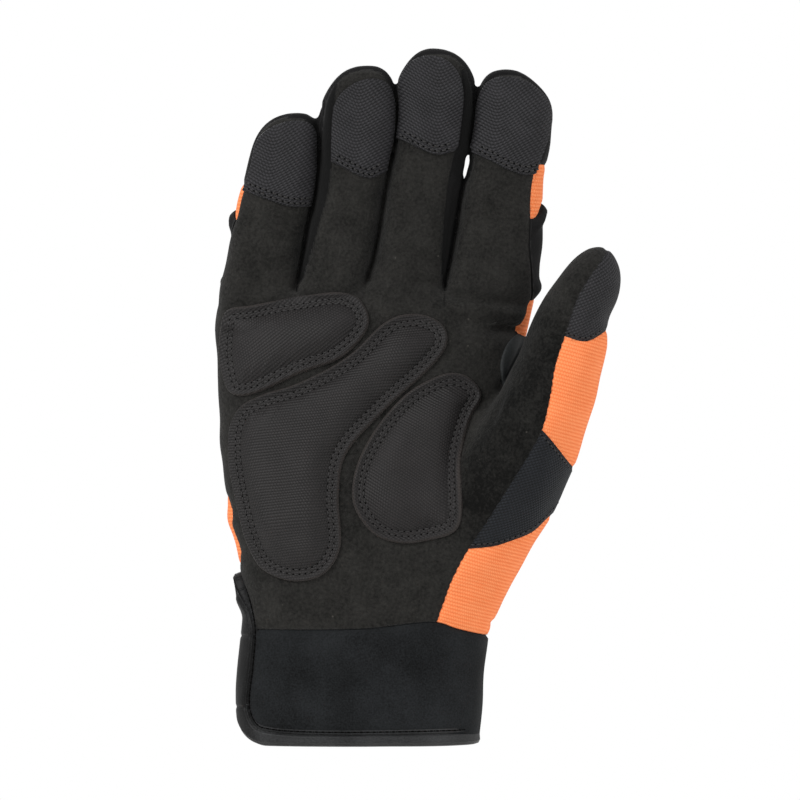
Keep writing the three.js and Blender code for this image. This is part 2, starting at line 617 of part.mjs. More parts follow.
// What is left of a solid beside the slit, with a margin to the slit's edges.
function besideSlit(solid, margin) {
  const [near, far] = [SLIT.near + margin, SLIT.far - margin];
  const gap = sidePrism([[near, LOW], [far, LOW], [far, HIGH], [near, HIGH]]);
  const side = prism([[-FAR, LOW], [SLIT_SIDE, LOW], [SLIT_SIDE, HIGH], [-FAR, HIGH]]);
  return solid.subtract(gap.intersect(side));
}

const edgeInset = TAPE + SEAM_GAP;
const cuffRing = layer(body, -CUFF_WALL, 0).intersect(insideCorner(edgeInset)).subtract(aboveCuff);
addNode("cuff", cuffRing.subtract(cutAlong(cuffSeam)).subtract(slitGap), NEOPRENE);

const bindingLine = smooth(BINDING_LINE, 16);
const bindingZone = prism(
  [...bindingLine, [-FAR, bindingLine.at(-1)[1]], [-FAR, LOW], [bindingLine[0][0], LOW]],
);
const aroundWall = (distance) => layer(body, -CUFF_WALL - distance, distance);
const tapeOutside = besideSlit(aroundWall(edgeInset).intersect(insideCorner(0)), edgeInset);
const tapeInside = besideSlit(aroundWall(SEAM_GAP).intersect(insideCorner(TAPE)), SEAM_GAP);
addNode("cuff_binding", tapeOutside.intersect(bindingZone).subtract(tapeInside), TAPE_CLOTH);

function strap() {
  const { thick, tab, foot, top, end, round } = STRAP;
  const shape = new THREE.Shape()
    .moveTo(LOOP.right - 1, foot) // into the loop, so that they join
    .lineTo(end - round, foot)
    .absarc(end - round, foot + round, round, -Math.PI / 2, 0)
    .absarc(end - round, top - round, round, 0, Math.PI / 2)
    .lineTo(LOOP.right - 1, top);
  const outline = shape.getPoints(5).map((p) => [p.x, p.y]);
  const cross = { near: (SLIT.near + SLIT.far - tab) / 2, far: (SLIT.near + SLIT.far + tab) / 2 };
  const over = edgeInset + SEAM_GAP;
  const under = -CUFF_WALL - edgeInset - SEAM_GAP;
  const loop = [[LOOP.left, foot], [LOOP.right, foot], [LOOP.right, top], [LOOP.left, top]];
  return wasm.Manifold.union([
    layer(body, SEAM_GAP, SEAM_GAP + thick).intersect(prism(outline, 0)),
    layer(body, over, over + tab).intersect(prism(loop, cross.near)),
    layer(body, under - tab, over + tab).intersect(prism(loop, cross.near, cross.far)),
    layer(body, under - tab, under).intersect(prism(loop, STRAP.sewn, cross.far)),
  ]);
}
addNode("wrist_strap", strap(), TAPE_CLOTH);

export default nodes;
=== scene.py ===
# %% [markdown]
# # An anti-vibration work glove, panel by panel
# The glove is sewn from suede, knit, woven and foam-backed panels round a hand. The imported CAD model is
# the frame: it gives the size and the place of each panel. This lesson makes the cloth that is seen.

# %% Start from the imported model
import math

import bpy
import numpy as np
from mathutils.bvhtree import BVHTree
from mathutils.kdtree import KDTree
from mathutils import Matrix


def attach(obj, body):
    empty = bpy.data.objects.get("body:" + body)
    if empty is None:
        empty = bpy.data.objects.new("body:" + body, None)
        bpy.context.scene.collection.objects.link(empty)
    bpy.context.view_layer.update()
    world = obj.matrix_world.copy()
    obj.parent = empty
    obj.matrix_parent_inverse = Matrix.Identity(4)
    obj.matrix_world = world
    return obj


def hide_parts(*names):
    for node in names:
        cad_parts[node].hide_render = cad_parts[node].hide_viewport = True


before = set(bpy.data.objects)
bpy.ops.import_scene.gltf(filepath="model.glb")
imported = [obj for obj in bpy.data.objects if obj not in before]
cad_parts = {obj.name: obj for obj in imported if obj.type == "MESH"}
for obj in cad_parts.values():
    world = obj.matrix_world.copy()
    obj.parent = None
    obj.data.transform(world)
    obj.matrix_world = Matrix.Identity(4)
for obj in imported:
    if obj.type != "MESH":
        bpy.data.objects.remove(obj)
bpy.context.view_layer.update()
MM = 0.001  # the shapes below are worked out in millimetres, and Blender works in metres
print("CAD nodes:", len(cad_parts))

# %% [markdown]
# ## Camera, floor and light
# The glove was photographed straight on to its palm with a long lens, on white, in soft light from all
# round. A big soft light at the upper left brings out the pads, a weaker one fills from the right, and two
# more stand behind and at the thumb's side, for the views of the back.

# %% Camera
FRAME_WIDE = 288.6  # the width of the view at the glove, mm
VIEW_CENTRE = (13.7, 123.8)  # the middle of the view, x and z in mm
LENS, SENSOR = 300.0, 36.0  # mm
OUTLINE_FRONT = 6  # how far the glove's outline lies in front of its middle, mm


def put(name, data):
    """A new object in the scene."""
    made = bpy.data.objects.new(name, data)
    bpy.context.scene.collection.objects.link(made)
    return made


camera_data = bpy.data.cameras.new("long lens")
camera_data.lens, camera_data.sensor_width = LENS, SENSOR
camera = put("camera", camera_data)
distance = FRAME_WIDE * LENS / SENSOR + OUTLINE_FRONT
camera.location = (VIEW_CENTRE[0] * MM, -distance * MM, VIEW_CENTRE[1] * MM)
camera.rotation_euler = (math.pi / 2, 0, 0)
bpy.context.scene.camera = camera
bpy.context.scene.view_settings.view_transform = "Standard"
print("camera distance, m:", round(distance * MM, 3))


# %% Small helpers for materials
def linear(hex_colour):
    """An sRGB hex colour as the linear colour that Blender wants."""
    parts = [int(hex_colour[i : i + 2], 16) / 255 for i in (1, 3, 5)]
    return tuple(c / 12.92 if c <= 0.04045 else ((c + 0.055) / 1.055) ** 2.4 for c in parts) + (1.0,)


def add(tree, kind, inputs=None, **settings):
    """Adds a node, sets it up, and sets or links its inputs. A node as an input means its first output."""
    made = tree.nodes.new(kind)
    for key, value in settings.items():
        setattr(made, key, value)
    for key, value in (inputs or {}).items():
        value = value.outputs[0] if isinstance(value, bpy.types.Node) else value
        if isinstance(value, bpy.types.NodeSocket):
            tree.links.new(value, made.inputs[key])
        else:
            made.inputs[key].default_value = value
    return made


def new_material(name):
    """An empty material and the tree to fill."""
    material = bpy.data.materials.new(name)
    material.use_nodes = True
    material.node_tree.nodes.clear()
    return material, material.node_tree


print("a mid grey, #808080, as a linear value:", round(linear("#808080")[0], 3))

# %% Floor and lights
MIDDLE = (0.02, 0.0, 0.12)  # the middle of the glove, which every light is turned to, m
ROOM_LIGHT = 0.42  # how much light the white room gives back
FLOOR_RADIUS, FLOOR_HEIGHT = 0.9, -0.12  # a round table top well below the cuff, m


def soft_light(name, place, size, watts):
    """A flat lamp of a size in metres, turned to the middle of the glove."""
    data = bpy.data.lights.new(name, "AREA")
    data.shape = "RECTANGLE"
    data.size, data.size_y = size
    data.energy = watts
    light = put(name, data)
    light.location = place
    x, y, z = (a - p for a, p in zip(MIDDLE, place))
    light.rotation_euler = (math.atan2(math.hypot(x, y), -z), 0, math.atan2(-x, y))


soft_light("key", place=(-0.95, -1.0, 1.0), size=(0.8, 0.8), watts=21)
soft_light("fill", place=(1.3, -0.9, 0.5), size=(0.9, 1.2), watts=7.5)
soft_light("back", place=(-0.3, 1.3, 0.9), size=(1.2, 0.8), watts=8)
soft_light("side", place=(1.3, 0.35, 0.4), size=(0.6, 0.9), watts=3.5)

world = bpy.data.worlds.new("white room")
bpy.context.scene.world = world
world.use_nodes = True
room = world.node_tree
room.nodes.clear()
# The wall behind is seen pure white, but it lights the glove only as much as a white room does
seen = add(room, "ShaderNodeBackground", {"Color": (1, 1, 1, 1), "Strength": 1.0})
ambient = add(room, "ShaderNodeBackground", {"Color": (1, 1, 1, 1), "Strength": ROOM_LIGHT})
ray = add(room, "ShaderNodeLightPath")
both = add(room, "ShaderNodeMixShader", {0: ray.outputs["Is Camera Ray"], 1: ambient, 2: seen})
add(room, "ShaderNodeOutputWorld", {"Surface": both})

floor_paper, tree = new_material("white_paper")
paper = add(tree, "ShaderNodeBsdfPrincipled", {"Base Color": linear("#f4f4f2"), "Roughness": 0.9})
add(tree, "ShaderNodeOutputMaterial", {"Surface": paper})
floor_mesh = bpy.data.meshes.new("floor")
turns = [2 * math.pi * k / 96 for k in range(96)]
rim = [(FLOOR_RADIUS * math.cos(t), FLOOR_RADIUS * math.sin(t), FLOOR_HEIGHT) for t in turns]
floor_mesh.from_pydata(rim, [], [range(96)])
floor_mesh.materials.append(floor_paper)
put("floor", floor_mesh)

# %% [markdown]
# ## The hand inside
# Cloth takes the shape of what fills it. So the first shape is the filled glove without its seams: a body,
# a thumb and four fingers, each a stack of rounded rings between four edge curves. Separate tubes would
# meet in hard corners, so they are melted into one skin by a voxel remesh, which also gives the soft
# creases between the fingers.

# %% Smooth curves through a few sizes
# The hand without its fingers, at each height z: left, right, front and back, in mm
BODY = np.array([
    (0, -43.6, 42.2, -20, 20), (12, -44.8, 43.6, -20.5, 20.5), (26, -44.4, 44.2, -20.5, 20.5),
    (38, -43.1, 45.8, -20, 20), (46, -42.4, 46.9, -20.5, 19.8), (54, -42.6, 48.4, -21.2, 19.4),
    (62, -43.9, 49.8, -22, 19), (69, -45.3, 51.1, -22.6, 18.6), (75, -46.7, 52.6, -23, 18),
    (81, -48.9, 53.7, -23, 17.4), (88, -48.7, 55, -23, 17), (105, -51, 57.5, -21.5, 16.5),
    (124, -51.8, 59.5, -19, 16), (140, -52.3, 59.4, -16.5, 15.5), (152, -53.1, 59.7, -14, 15),
    (164, -51.7, 61, -12, 14),
], float)
# The thumb and the ball of the thumb, in the same columns
THUMB = np.array([
    (36, 14, 42, -14, 12), (43, 13, 46.9, -15.5, 13.5), (56, 13, 54, -21.5, 14.5), (73, 17, 63, -27, 13.5),
    (90, 26, 72.2, -31, 10.5), (108, 37, 78.9, -33.5, 5), (125, 48.5, 84.1, -35.5, -2),
    (142, 56.9, 88, -37, -8), (152, 61.2, 88.5, -37.5, -11), (160, 65, 91.6, -38, -13),
    (168, 70.3, 93.1, -38, -14.5), (180, 76.9, 93.1, -38, -16),
], float)
# The lines between the fingers, at each height z: the outer edge, three lines, the index finger's edge
FINGER_LINES = np.array([
    (148, -52.9, -25.6, 0, 29.2, 59.4), (165, -51.2, -23.6, 1.2, 30, 62.9),
    (175, -49.1, -21.7, 4.1, 31.8, 63.7), (185, -47.3, -19.9, 6.2, 33.5, 64.6),
    (196, -45, -17.6, 7.9, 35.3, 65), (207, -41.6, -16.1, 9.8, 37.4, 66.2),
    (217, -39.5, -15.8, 11.9, 39.4, 68.1), (228, -39.2, -15, 12.8, 40.7, 69.2),
    (240, -38.4, -13.6, 12.5, 41.2, 68.2), (252, -35.5, -13, 13.6, 41.4, 66),
], float)
# The fingers' side view, at each height z: the middle and half the thickness
FINGER_SIDE = np.array([
    (148, 0.5, 13), (165, 0.6, 12.4), (185, -0.2, 11.7), (205, -2, 11.3), (225, -5, 10.7), (252, -10.5, 10),
], float)
# Each finger: its two lines, tip, rounded end, thickness share, where the orange cloth ends, and how far
# its tip leans towards the thumb
FINGERS = {
    "little": dict(lines=(1, 2), tip=227.5, dome=14, depth=0.88, orange=202, lean=3.6),
    "ring": dict(lines=(2, 3), tip=244.6, dome=17, depth=0.97, orange=210, lean=2.4),
    "middle": dict(lines=(3, 4), tip=250.4, dome=18, depth=1.0, orange=215, lean=-0.7),
    "index": dict(lines=(4, 5), tip=242.8, dome=18, depth=1.0, orange=208.5, lean=-3.1),
}


def curve(table, column):
    """A smooth curve through one column of a table, as a function of height."""
    at, value = table[:, 0], table[:, column]
    ends = [np.r_[0, np.arange(len(at) - 1)], np.r_[np.arange(1, len(at)), len(at) - 1]]
    slope = (value[ends[1]] - value[ends[0]]) / (at[ends[1]] - at[ends[0]])

    def follow(z):
        i = np.clip(np.searchsorted(at, z, side="right") - 1, 0, len(at) - 2)
        step = at[i + 1] - at[i]
        t = np.clip((z - at[i]) / step, 0, 1)
        s = t * t * (3 - 2 * t)
        bend = t * (1 - t) * step * ((1 - t) * slope[i] - t * slope[i + 1])
        return value[i] * (1 - s) + value[i + 1] * s + bend

    return follow


BODY_EDGES = [curve(BODY, k) for k in (1, 2, 3, 4)]
THUMB_EDGES = [curve(THUMB, k) for k in (1, 2, 3, 4)]
LINES = {k: curve(FINGER_LINES, k) for k in range(1, 6)}
finger_middle, finger_half = curve(FINGER_SIDE, 1), curve(FINGER_SIDE, 2)
PRESSED = 0.2  # how far each finger is pressed into its neighbour, mm
# A slit of daylight between the middle and index finger: its height, half its length and half its width
DAYLIGHT = dict(z=208.7, half=5.8, wide=1.25, pressed=0.75)


def finger_edges(finger):
    """The four edge curves of a finger."""
    left, right = finger["lines"]

    def daylight(z):
        return DAYLIGHT["wide"] * np.clip(1 - ((z - DAYLIGHT["z"]) / DAYLIGHT["half"]) ** 8, 0, 1)

    def edge(line, inward):
        press = PRESSED if line in (2, 3, 4) else 0
        gap = daylight if line == 4 else (lambda z: 0 * z)
        return lambda z: LINES[line](z) + inward * (gap(z) * (1 + press / DAYLIGHT["wide"]) - press)

    return [
        edge(left, 1), edge(right, -1),
        lambda z: finger_middle(z) - finger_half(z) * finger["depth"],
        lambda z: finger_middle(z) + finger_half(z) * finger["depth"],
    ]


print("middle finger, width at its middle:", round(float(LINES[4](200.0) - LINES[3](200.0)), 1), "mm")


# %% Stack the rings
DOME = 0.9  # a rounded end's power: 1 is an ellipse, and less is blunter
RING_STEP, DOME_RINGS, ALMOST_CLOSED = 2.0, 18, 1.55  # mm, rings, and the last ring's angle


def limb(edges, base, tip, dome, count, square, lean=0.0):
    """Points and faces of one closed limb: rings up to its shoulder, then a dome to its tip.

    square says how boxy its rings of count points are: 2 is an ellipse.
    """
    shoulder = tip - dome
    straight = np.arange(base, shoulder, RING_STEP)
    turns = np.linspace(0, ALMOST_CLOSED, DOME_RINGS)
    z = np.concatenate([straight, shoulder + dome * np.sin(turns) ** DOME])
    share = np.concatenate([np.ones(len(straight)), np.cos(turns) ** DOME])[:, None]
    shift = np.concatenate([np.zeros(len(straight)), lean * np.sin(turns) ** 2])[:, None]
    left, right, front, back = (edge(np.minimum(z, tip))[:, None] for edge in edges)
    turn = 2 * np.pi * (np.arange(count) + 0.5) / count
    round_x, round_y = (np.sign(v) * np.abs(v) ** (2 / square) for v in (np.cos(turn), np.sin(turn)))
    x = (left + right) / 2 + shift + (right - left) / 2 * share * round_x
    y = (front + back) / 2 + (back - front) / 2 * share * round_y
    points = np.stack([x, y, np.repeat(z[:, None], count, 1)], 2).reshape(-1, 3)
    level, i = np.divmod(np.arange((len(z) - 1) * count), count)
    a, b = level * count + i, level * count + (i + 1) % count
    faces = np.stack([a, b, b + count, a + count], 1).tolist()
    faces.append(list(range(count - 1, -1, -1)))
    faces.append(list(range((len(z) - 1) * count, len(z) * count)))
    return points, faces


limbs = [limb(BODY_EDGES, base=-8, tip=165, dome=9, count=120, square=2.35),
         limb(THUMB_EDGES, base=36, tip=179, dome=16, count=72, square=2.15)]
limbs += [limb(finger_edges(f), base=150, tip=f["tip"], dome=f["dome"], count=56, square=2.5, lean=f["lean"])
          for f in FINGERS.values()]
all_points, all_faces = [], []
for limb_points, limb_faces in limbs:
    start = sum(len(p) for p in all_points)
    all_points.append(limb_points)
    all_faces += [[start + k for k in face] for face in limb_faces]
print("limbs:", len(limbs), "with", len(all_faces), "faces")

# %% Melt the limbs together
VOXEL = 1.0  # mm


def rows_of(things, key, wide, kind=float):
    """One value of each vertex, edge or triangle of a mesh, as the rows of a table."""
    flat = np.empty(len(things) * wide, dtype=kind)
    things.foreach_get(key, flat)
    return flat.reshape(-1, wide)


form_mesh = bpy.data.meshes.new("hand form")
form_mesh.from_pydata(np.concatenate(all_points).tolist(), [], all_faces)
form_object = put("hand form", form_mesh)
melt = form_object.modifiers.new("melt", "REMESH")
melt.mode = "VOXEL"
melt.voxel_size = VOXEL
evaluated = form_object.evaluated_get(bpy.context.evaluated_depsgraph_get())
melted = evaluated.to_mesh()
melted.calc_loop_triangles()
points = rows_of(melted.vertices, "co", 3)
faces = rows_of(melted.loop_triangles, "vertices", 3, np.int32)
edges = rows_of(melted.edges, "vertices", 2, np.int32)
evaluated.to_mesh_clear()
bpy.data.objects.remove(form_object)
print("melted form:", len(points), "points,", len(faces), "triangles")


# %% Helpers that smooth and measure a form
def relax(points, edges, rounds, strength):
    """Moves each point towards the middle of its neighbours, by a strength that may differ."""
    a, b = edges.T
    count = len(points)
    degree = np.bincount(edges.ravel(), minlength=count)[:, None]
    for _ in range(rounds):
        total = np.stack([
            np.bincount(a, points[b, k], count) + np.bincount(b, points[a, k], count)
            for k in range(points.shape[1])
        ], 1)
        points = points + strength * (total / degree - points)
    return points


def normals_of(points, faces):
    """The normal at each point, from the triangles round it."""
    a, b, c = (points[faces[:, k]] for k in range(3))
    area = np.cross(b - a, c - a)
    total = np.stack([
        sum(np.bincount(faces[:, corner], area[:, k], len(points)) for corner in range(3)) for k in range(3)
    ], 1)
    return total / np.maximum(np.linalg.norm(total, axis=1), 1e-12)[:, None]


def near_step(value, start, end):
    """0 before start, 1 after end, and smooth between them."""
    t = np.clip((value - start) / (end - start), 0, 1)
    return t * t * (3 - 2 * t)


def from_lines(at):
    """How far each point lies from the nearest line between two fingers, seen from the palm, in mm."""
    return np.min([np.abs(at[:, 0] - LINES[k](at[:, 2])) for k in (2, 3, 4)], axis=0)


print("points near a line between two fingers:", int((from_lines(points) < 2).sum()))

# %% Smooth the form
x, y, z = points.T
slit = (np.abs(x - LINES[4](z)) < 3) & (np.abs(z - DAYLIGHT["z"]) < 9)
points = relax(points, edges, 5, np.where(slit, 0.25, 0.5)[:, None])
# A slit as narrow as the real one would melt shut, so it is made wider and pressed together afterwards
off = points[:, 0] - LINES[4](points[:, 2])
from_slit = np.abs(points[:, 2] - DAYLIGHT["z"])
near_slit = (1 - near_step(np.abs(off), 1.5, 4)) * (1 - near_step(from_slit, 5, 10))
points[:, 0] -= np.sign(off) * np.minimum(np.abs(off), DAYLIGHT["pressed"]) * near_slit
# The ball of the thumb runs smoothly into the palm below its web, and the crotches of the fingers are soft
x, y, z = points.T
ball = near_step(x, -2, 8) * (1 - near_step(x, 58, 66)) * (1 - near_step(z, 112, 128)) * (y < 0)
crotch = (1 - near_step(from_lines(points), 4, 9)) * near_step(z, 146, 152) * (1 - near_step(z, 166, 173))
points = relax(points, edges, 110, 0.5 * ball[:, None])
points = relax(points, edges, 22, 0.5 * crotch[:, None])
rest = points.copy()  # seams are measured on this shape, before the folds
print("points moved at the slit of daylight:", int(slit.sum()))

# %% [markdown]
# ## Folds and soft lumps
# Worn suede is never a clean tube: it creases at the roots of the fingers and folds round the thumb. A few
# folds are laid along lines seen from the palm, and a sum of long waves gives the uneven softness between.

# %% Folds
# Each fold: its two ends as x and z, how wide it is, and how high it stands (below 0 is a crease), in mm
FOLDS = [
    ((-50, 163), (-27, 165.5), 2.2, -0.5), ((-22, 168), (0, 169), 2.2, -0.35),
    ((3, 167.5), (28.5, 165.2), 1.8, -1.3), ((33, 161.5), (62, 157.5), 2.2, -2.1),
    ((38, 152.5), (59, 149), 3, -2.4), ((31, 167), (60, 163), 4, 0.7), ((33, 157), (58, 154), 2.6, 0.8),
    ((50.5, 128), (58.8, 146), 1.2, -1.5), ((36, 147), (54, 142), 3.5, 0.6),
    ((31, 145), (45, 133), 3.5, 0.5), ((52, 121), (46, 106), 3.5, 0.8),
    ((51.6, 130), (46.5, 116), 1.5, -1.9), ((43, 104), (42, 84), 4, -0.6), ((52, 110), (47, 92), 3.5, 0.5),
    ((-30, 46), (20, 47), 3.5, -0.5), ((-42, 188), (-24, 190), 4, -0.35), ((-16, 192), (4, 194), 5, -0.3),
    ((9, 195), (33, 197), 5, -0.35), ((38, 187), (62, 186), 5, -0.45), ((60, 135), (70, 129), 4, -0.4),
    ((66, 150), (75, 145), 4, -0.35), ((52, 62), (30, 54), 4, -0.4), ((57, 114), (52, 88), 3, 0.8),
    ((50, 116), (48.5, 90), 2.4, -0.8), ((-8, 166), (18, 160), 4.5, 0.6),
    ((-44, 160), (-30, 172), 4, -0.4),
]


def folds(at, normal):
    """How far the folds move each point, in mm, on the side that faces the palm."""
    height = np.zeros(len(at))
    flat = at[:, [0, 2]]
    for start, end, wide, tall in FOLDS:
        start, end = np.array(start, float), np.array(end, float)
        run = end - start
        t = np.clip((flat - start) @ run / (run @ run), 0, 1)
        off = np.linalg.norm(flat - start - t[:, None] * run, axis=1)
        along = 0.35 + 0.65 * np.sin(np.pi * np.clip(t, 0.08, 0.92))
        height += tall * np.exp(-((off / wide) ** 2)) * along
    return height * np.clip(-normal[:, 1] * 1.4, 0, 1)


def soft_lumps(at, size, seed):
    """A sum of long waves in fixed directions, between about -1 and 1."""
    rng = np.random.default_rng(seed)
    total = np.zeros(len(at))
    for _ in range(9):
        way = rng.normal(size=3)
        way *= 2 * np.pi / (size * rng.uniform(0.7, 1.5)) / np.linalg.norm(way)
        total += np.sin(at @ way + rng.uniform(0, 2 * np.pi))
    return total / 4


def creases(at):
    """How deep the creases between the fingers are, as a move towards the middle of the hand, in mm."""
    _, y, z = at.T
    deep = y - finger_middle(z)
    size = 2.4 * np.exp(-((from_lines(at) / 1.5) ** 2)) * near_step(z, 155, 172)
    return -np.sign(deep) * np.minimum(size, 0.4 * np.abs(deep))


normals = normals_of(points, faces)
points[:, 1] += creases(rest)
cloth_part = np.clip((points[:, 2] - 40) / 12, 0.25, 1)  # the cuff is stiffer than the cloth above it
lumps = 0.28 * cloth_part * soft_lumps(rest, size=16, seed=5)
points = points + normals * (folds(rest, normals) + lumps)[:, None]
normals = relax(normals_of(points, faces), edges, 3, 0.5)
normals /= np.linalg.norm(normals, axis=1)[:, None]
print("form box, mm:", points.min(0).round(1), points.max(0).round(1))

# %% [markdown]
# ## Cutting panels
# A panel is what is left of the skin where a value is below zero: the value is a distance in mm to its
# seams. Cutting triangles exactly along zero gives clean seam lines. Each panel then gets its thickness, a
# rounded rim, and an edge that is tucked in a little, as sewn edges are.

# %% Split a skin along a seam
PLACE, NORMAL, REST = slice(0, 3), slice(3, 6), slice(6, 9)
form = (np.concatenate([points, normals, rest], 1), faces)
print("a skin's table:", form[0].shape, "and its triangles:", form[1].shape)


def split(skin, value):
    """Adds points where the value is zero, so that no triangle crosses it. Returns the value there too."""
    data, faces = skin
    value = np.where(np.abs(value) < 1e-3, 1e-3, value)
    below = value < 0
    count = below[faces].sum(1)
    whole = (count == 0) | (count == 3)
    crossed, lone = faces[~whole], below[faces[~whole]]
    lone = np.where((count[~whole] == 1)[:, None], lone, ~lone)
    turn = (lone.argmax(1)[:, None] + np.arange(3)) % 3
    a, b, c = np.take_along_axis(crossed, turn, 1).T
    ends = np.sort(np.concatenate([np.stack([a, b], 1), np.stack([a, c], 1)]), 1)
    edge, index = np.unique(ends, axis=0, return_inverse=True)
    index = index.reshape(-1)
    share = (value[edge[:, 0]] / (value[edge[:, 0]] - value[edge[:, 1]]))[:, None]
    added = data[edge[:, 0]] * (1 - share) + data[edge[:, 1]] * share
    ab, ac = len(data) + index[: len(a)], len(data) + index[len(a) :]
    faces = np.concatenate([
        faces[whole], np.stack([a, ab, ac], 1), np.stack([ab, b, c], 1), np.stack([ab, c, ac], 1),
    ])
    return (np.concatenate([data, added]), faces), np.concatenate([value, np.zeros(len(edge))])


# %% Keep, refine and measure a skin
def keep(skin, seam):
    """What is left of a skin where the seam function is below zero, without its unused points."""
    (data, faces), value = split(skin, seam(skin[0][:, REST]))
    used, index = np.unique(faces[value[faces].sum(1) < 0], return_inverse=True)
    return data[used], index.reshape(-1, 3)


def ringed(skin, distance, levels):
    """A skin with points added along lines at a few distances from a seam, so that its relief is sharp."""
    for level in levels:
        skin = split(skin, distance(skin[0][:, REST]) - level)[0]
    return skin


def finer(skin):
    """Halves every edge of a skin."""
    data, faces = skin
    ends = np.sort(np.concatenate([faces[:, [0, 1]], faces[:, [1, 2]], faces[:, [2, 0]]]), 1)
    edge, index = np.unique(ends, axis=0, return_inverse=True)
    ab, bc, ca = len(data) + index.reshape(3, -1)
    middle = (data[edge[:, 0]] + data[edge[:, 1]]) / 2
    a, b, c = faces.T
    split_faces = [(a, ab, ca), (ab, b, bc), (ca, bc, c), (ab, bc, ca)]
    return np.concatenate([data, middle]), np.concatenate([np.stack(f, 1) for f in split_faces])


def rim_of(faces):
    """The directed edges that only one triangle uses."""
    directed = np.concatenate([faces[:, [0, 1]], faces[:, [1, 2]], faces[:, [2, 0]]])
    number = int(faces.max()) + 1
    code, back = directed[:, 0] * number + directed[:, 1], directed[:, 1] * number + directed[:, 0]
    return directed[~np.isin(code, back)]


def edge_distance(data, rim):
    """The distance of each point of a skin to its rim, in mm."""
    tree = KDTree(len(rim) * 2)
    middles = (data[rim[:, 0], PLACE] + data[rim[:, 1], PLACE]) / 2
    for k, place in enumerate(np.concatenate([data[rim[:, 0], PLACE], middles])):
        tree.insert(place, k)
    tree.balance()
    return np.array([tree.find(place)[2] for place in data[:, PLACE]])


print("open edges of the whole form:", len(rim_of(form[1])))

# %% Give a panel its thickness
RIM_STEPS = (0.75, 0.0, -0.75)  # where the rim's rings lie between the outer face, 1, and the inner, -1


def place_mesh(name, points, faces, material):
    """A Blender object from points in mm."""
    mesh = bpy.data.meshes.new(name)
    mesh.from_pydata((points * MM).tolist(), [], [list(map(int, f)) for f in faces])
    mesh.materials.append(material)
    mesh.shade_smooth()
    return put(name, mesh)


def panel(name, skin, material, inward, outward=None, tuck=0.5, tuck_wide=1.0, bulge=0.3, marks=None):
    """A closed panel from a skin: an outer face, an inner face and a rounded rim between them.

    outward gives how far the outer face stands off the skin at each rest point, and marks are the named
    measures that a weave follows, or that paint shade and a highlight on the cloth.
    """
    data, faces = skin
    data = data.copy()
    rim = rim_of(faces)
    if tuck > 0:
        away = edge_distance(data, rim)
        data[:, PLACE] -= data[:, NORMAL] * (tuck * np.exp(-((away / tuck_wide) ** 2)))[:, None]
    lift = outward(data[:, REST]) if outward else np.zeros(len(data))
    outer = data[:, PLACE] + data[:, NORMAL] * lift[:, None]
    inner = data[:, PLACE] - data[:, NORMAL] * inward
    count = len(data)
    a, b = rim.T
    along = outer[b] - outer[a]
    away_from = np.cross(along, data[a, NORMAL])
    side = np.stack([
        np.bincount(a, away_from[:, k], count) + np.bincount(b, away_from[:, k], count) for k in range(3)
    ], 1)
    side /= np.maximum(np.linalg.norm(side, axis=1), 1e-9)[:, None]
    ring = np.unique(rim)
    slot_of = np.full(count, -1)
    slot_of[ring] = np.arange(len(ring))
    middle = (outer[ring] + inner[ring]) / 2
    levels = [
        middle + (outer[ring] - middle) * height + side[ring] * bulge * math.sqrt(1 - height * height)
        for height in RIM_STEPS
    ]
    chain_a, chain_b = (
        [end, *(2 * count + k * len(ring) + slot_of[end] for k in range(len(RIM_STEPS))), count + end]
        for end in (a, b)
    )
    rim_faces = [np.stack([chain_a[k + 1], chain_a[k], chain_b[k], chain_b[k + 1]], 1)
                 for k in range(len(chain_a) - 1)]
    points = np.concatenate([outer, inner, *levels])
    both_sides = [*faces, *(faces[:, ::-1] + count), *np.concatenate(rim_faces)]
    made = place_mesh(name, points, both_sides, material)
    for key, measure in (marks or {}).items():
        value = measure(data[:, REST])
        value = np.concatenate([value, value, *([value[ring]] * len(RIM_STEPS))])
        made.data.attributes.new(key, "FLOAT", "POINT").data.foreach_set("value", value.astype(np.float32))
    return made


pieces = {}  # every panel by its name


def sewn(piece, slot, *nodes):
    """Hangs a piece on the root body, hides the CAD nodes that it stands for, and keeps it by its name. The
    slot, its finish, is not used.
    """
    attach(piece, "root")
    if nodes:
        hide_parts(*nodes)
    pieces[piece.name] = piece
    print(piece.name, len(piece.data.polygons), "faces")


print("rings round each panel's rim:", len(RIM_STEPS))

# %% [markdown]
# ## Where the seams run
# The pattern is drawn as a few lines: side seams as a depth for each height, and the seams of the thumb,
# the cuff and its binding as lines seen from the palm. A signed distance to a line says on which side of
# it a point lies, and a panel is where the largest of a few such distances is below zero.

# %% Seam lines
# Where palm side and back meet, as height and depth in mm: little finger's side, between, index's side
SEAM_LITTLE = np.array([(-20, 5), (62, 5), (65, -4), (69, -8.4), (72, -8), (75, -6.8), (78, -7.2),
                        (81, -9.5), (84, -9.8), (87, -7), (90, -1), (93, 3), (176, 2.5), (185, -1),
                        (190, -5), (205, -7.5), (225, -8.5), (260, -16)], float)
SEAM_FINGERS = np.array([(-20, -4.5), (165, -4.4), (185, -5.2), (205, -7), (225, -10), (260, -17)], float)
SEAM_INDEX = np.array([(-20, 8), (140, 8), (145.5, 4), (147.4, -4.5), (148.6, -6.6), (151, -7), (154, -6.6),
                       (156, -5.4), (160, -4.2), (166, -6.3), (180, -8.6), (190, -9.4), (206, -11),
                       (225, -10), (260, -17)], float)
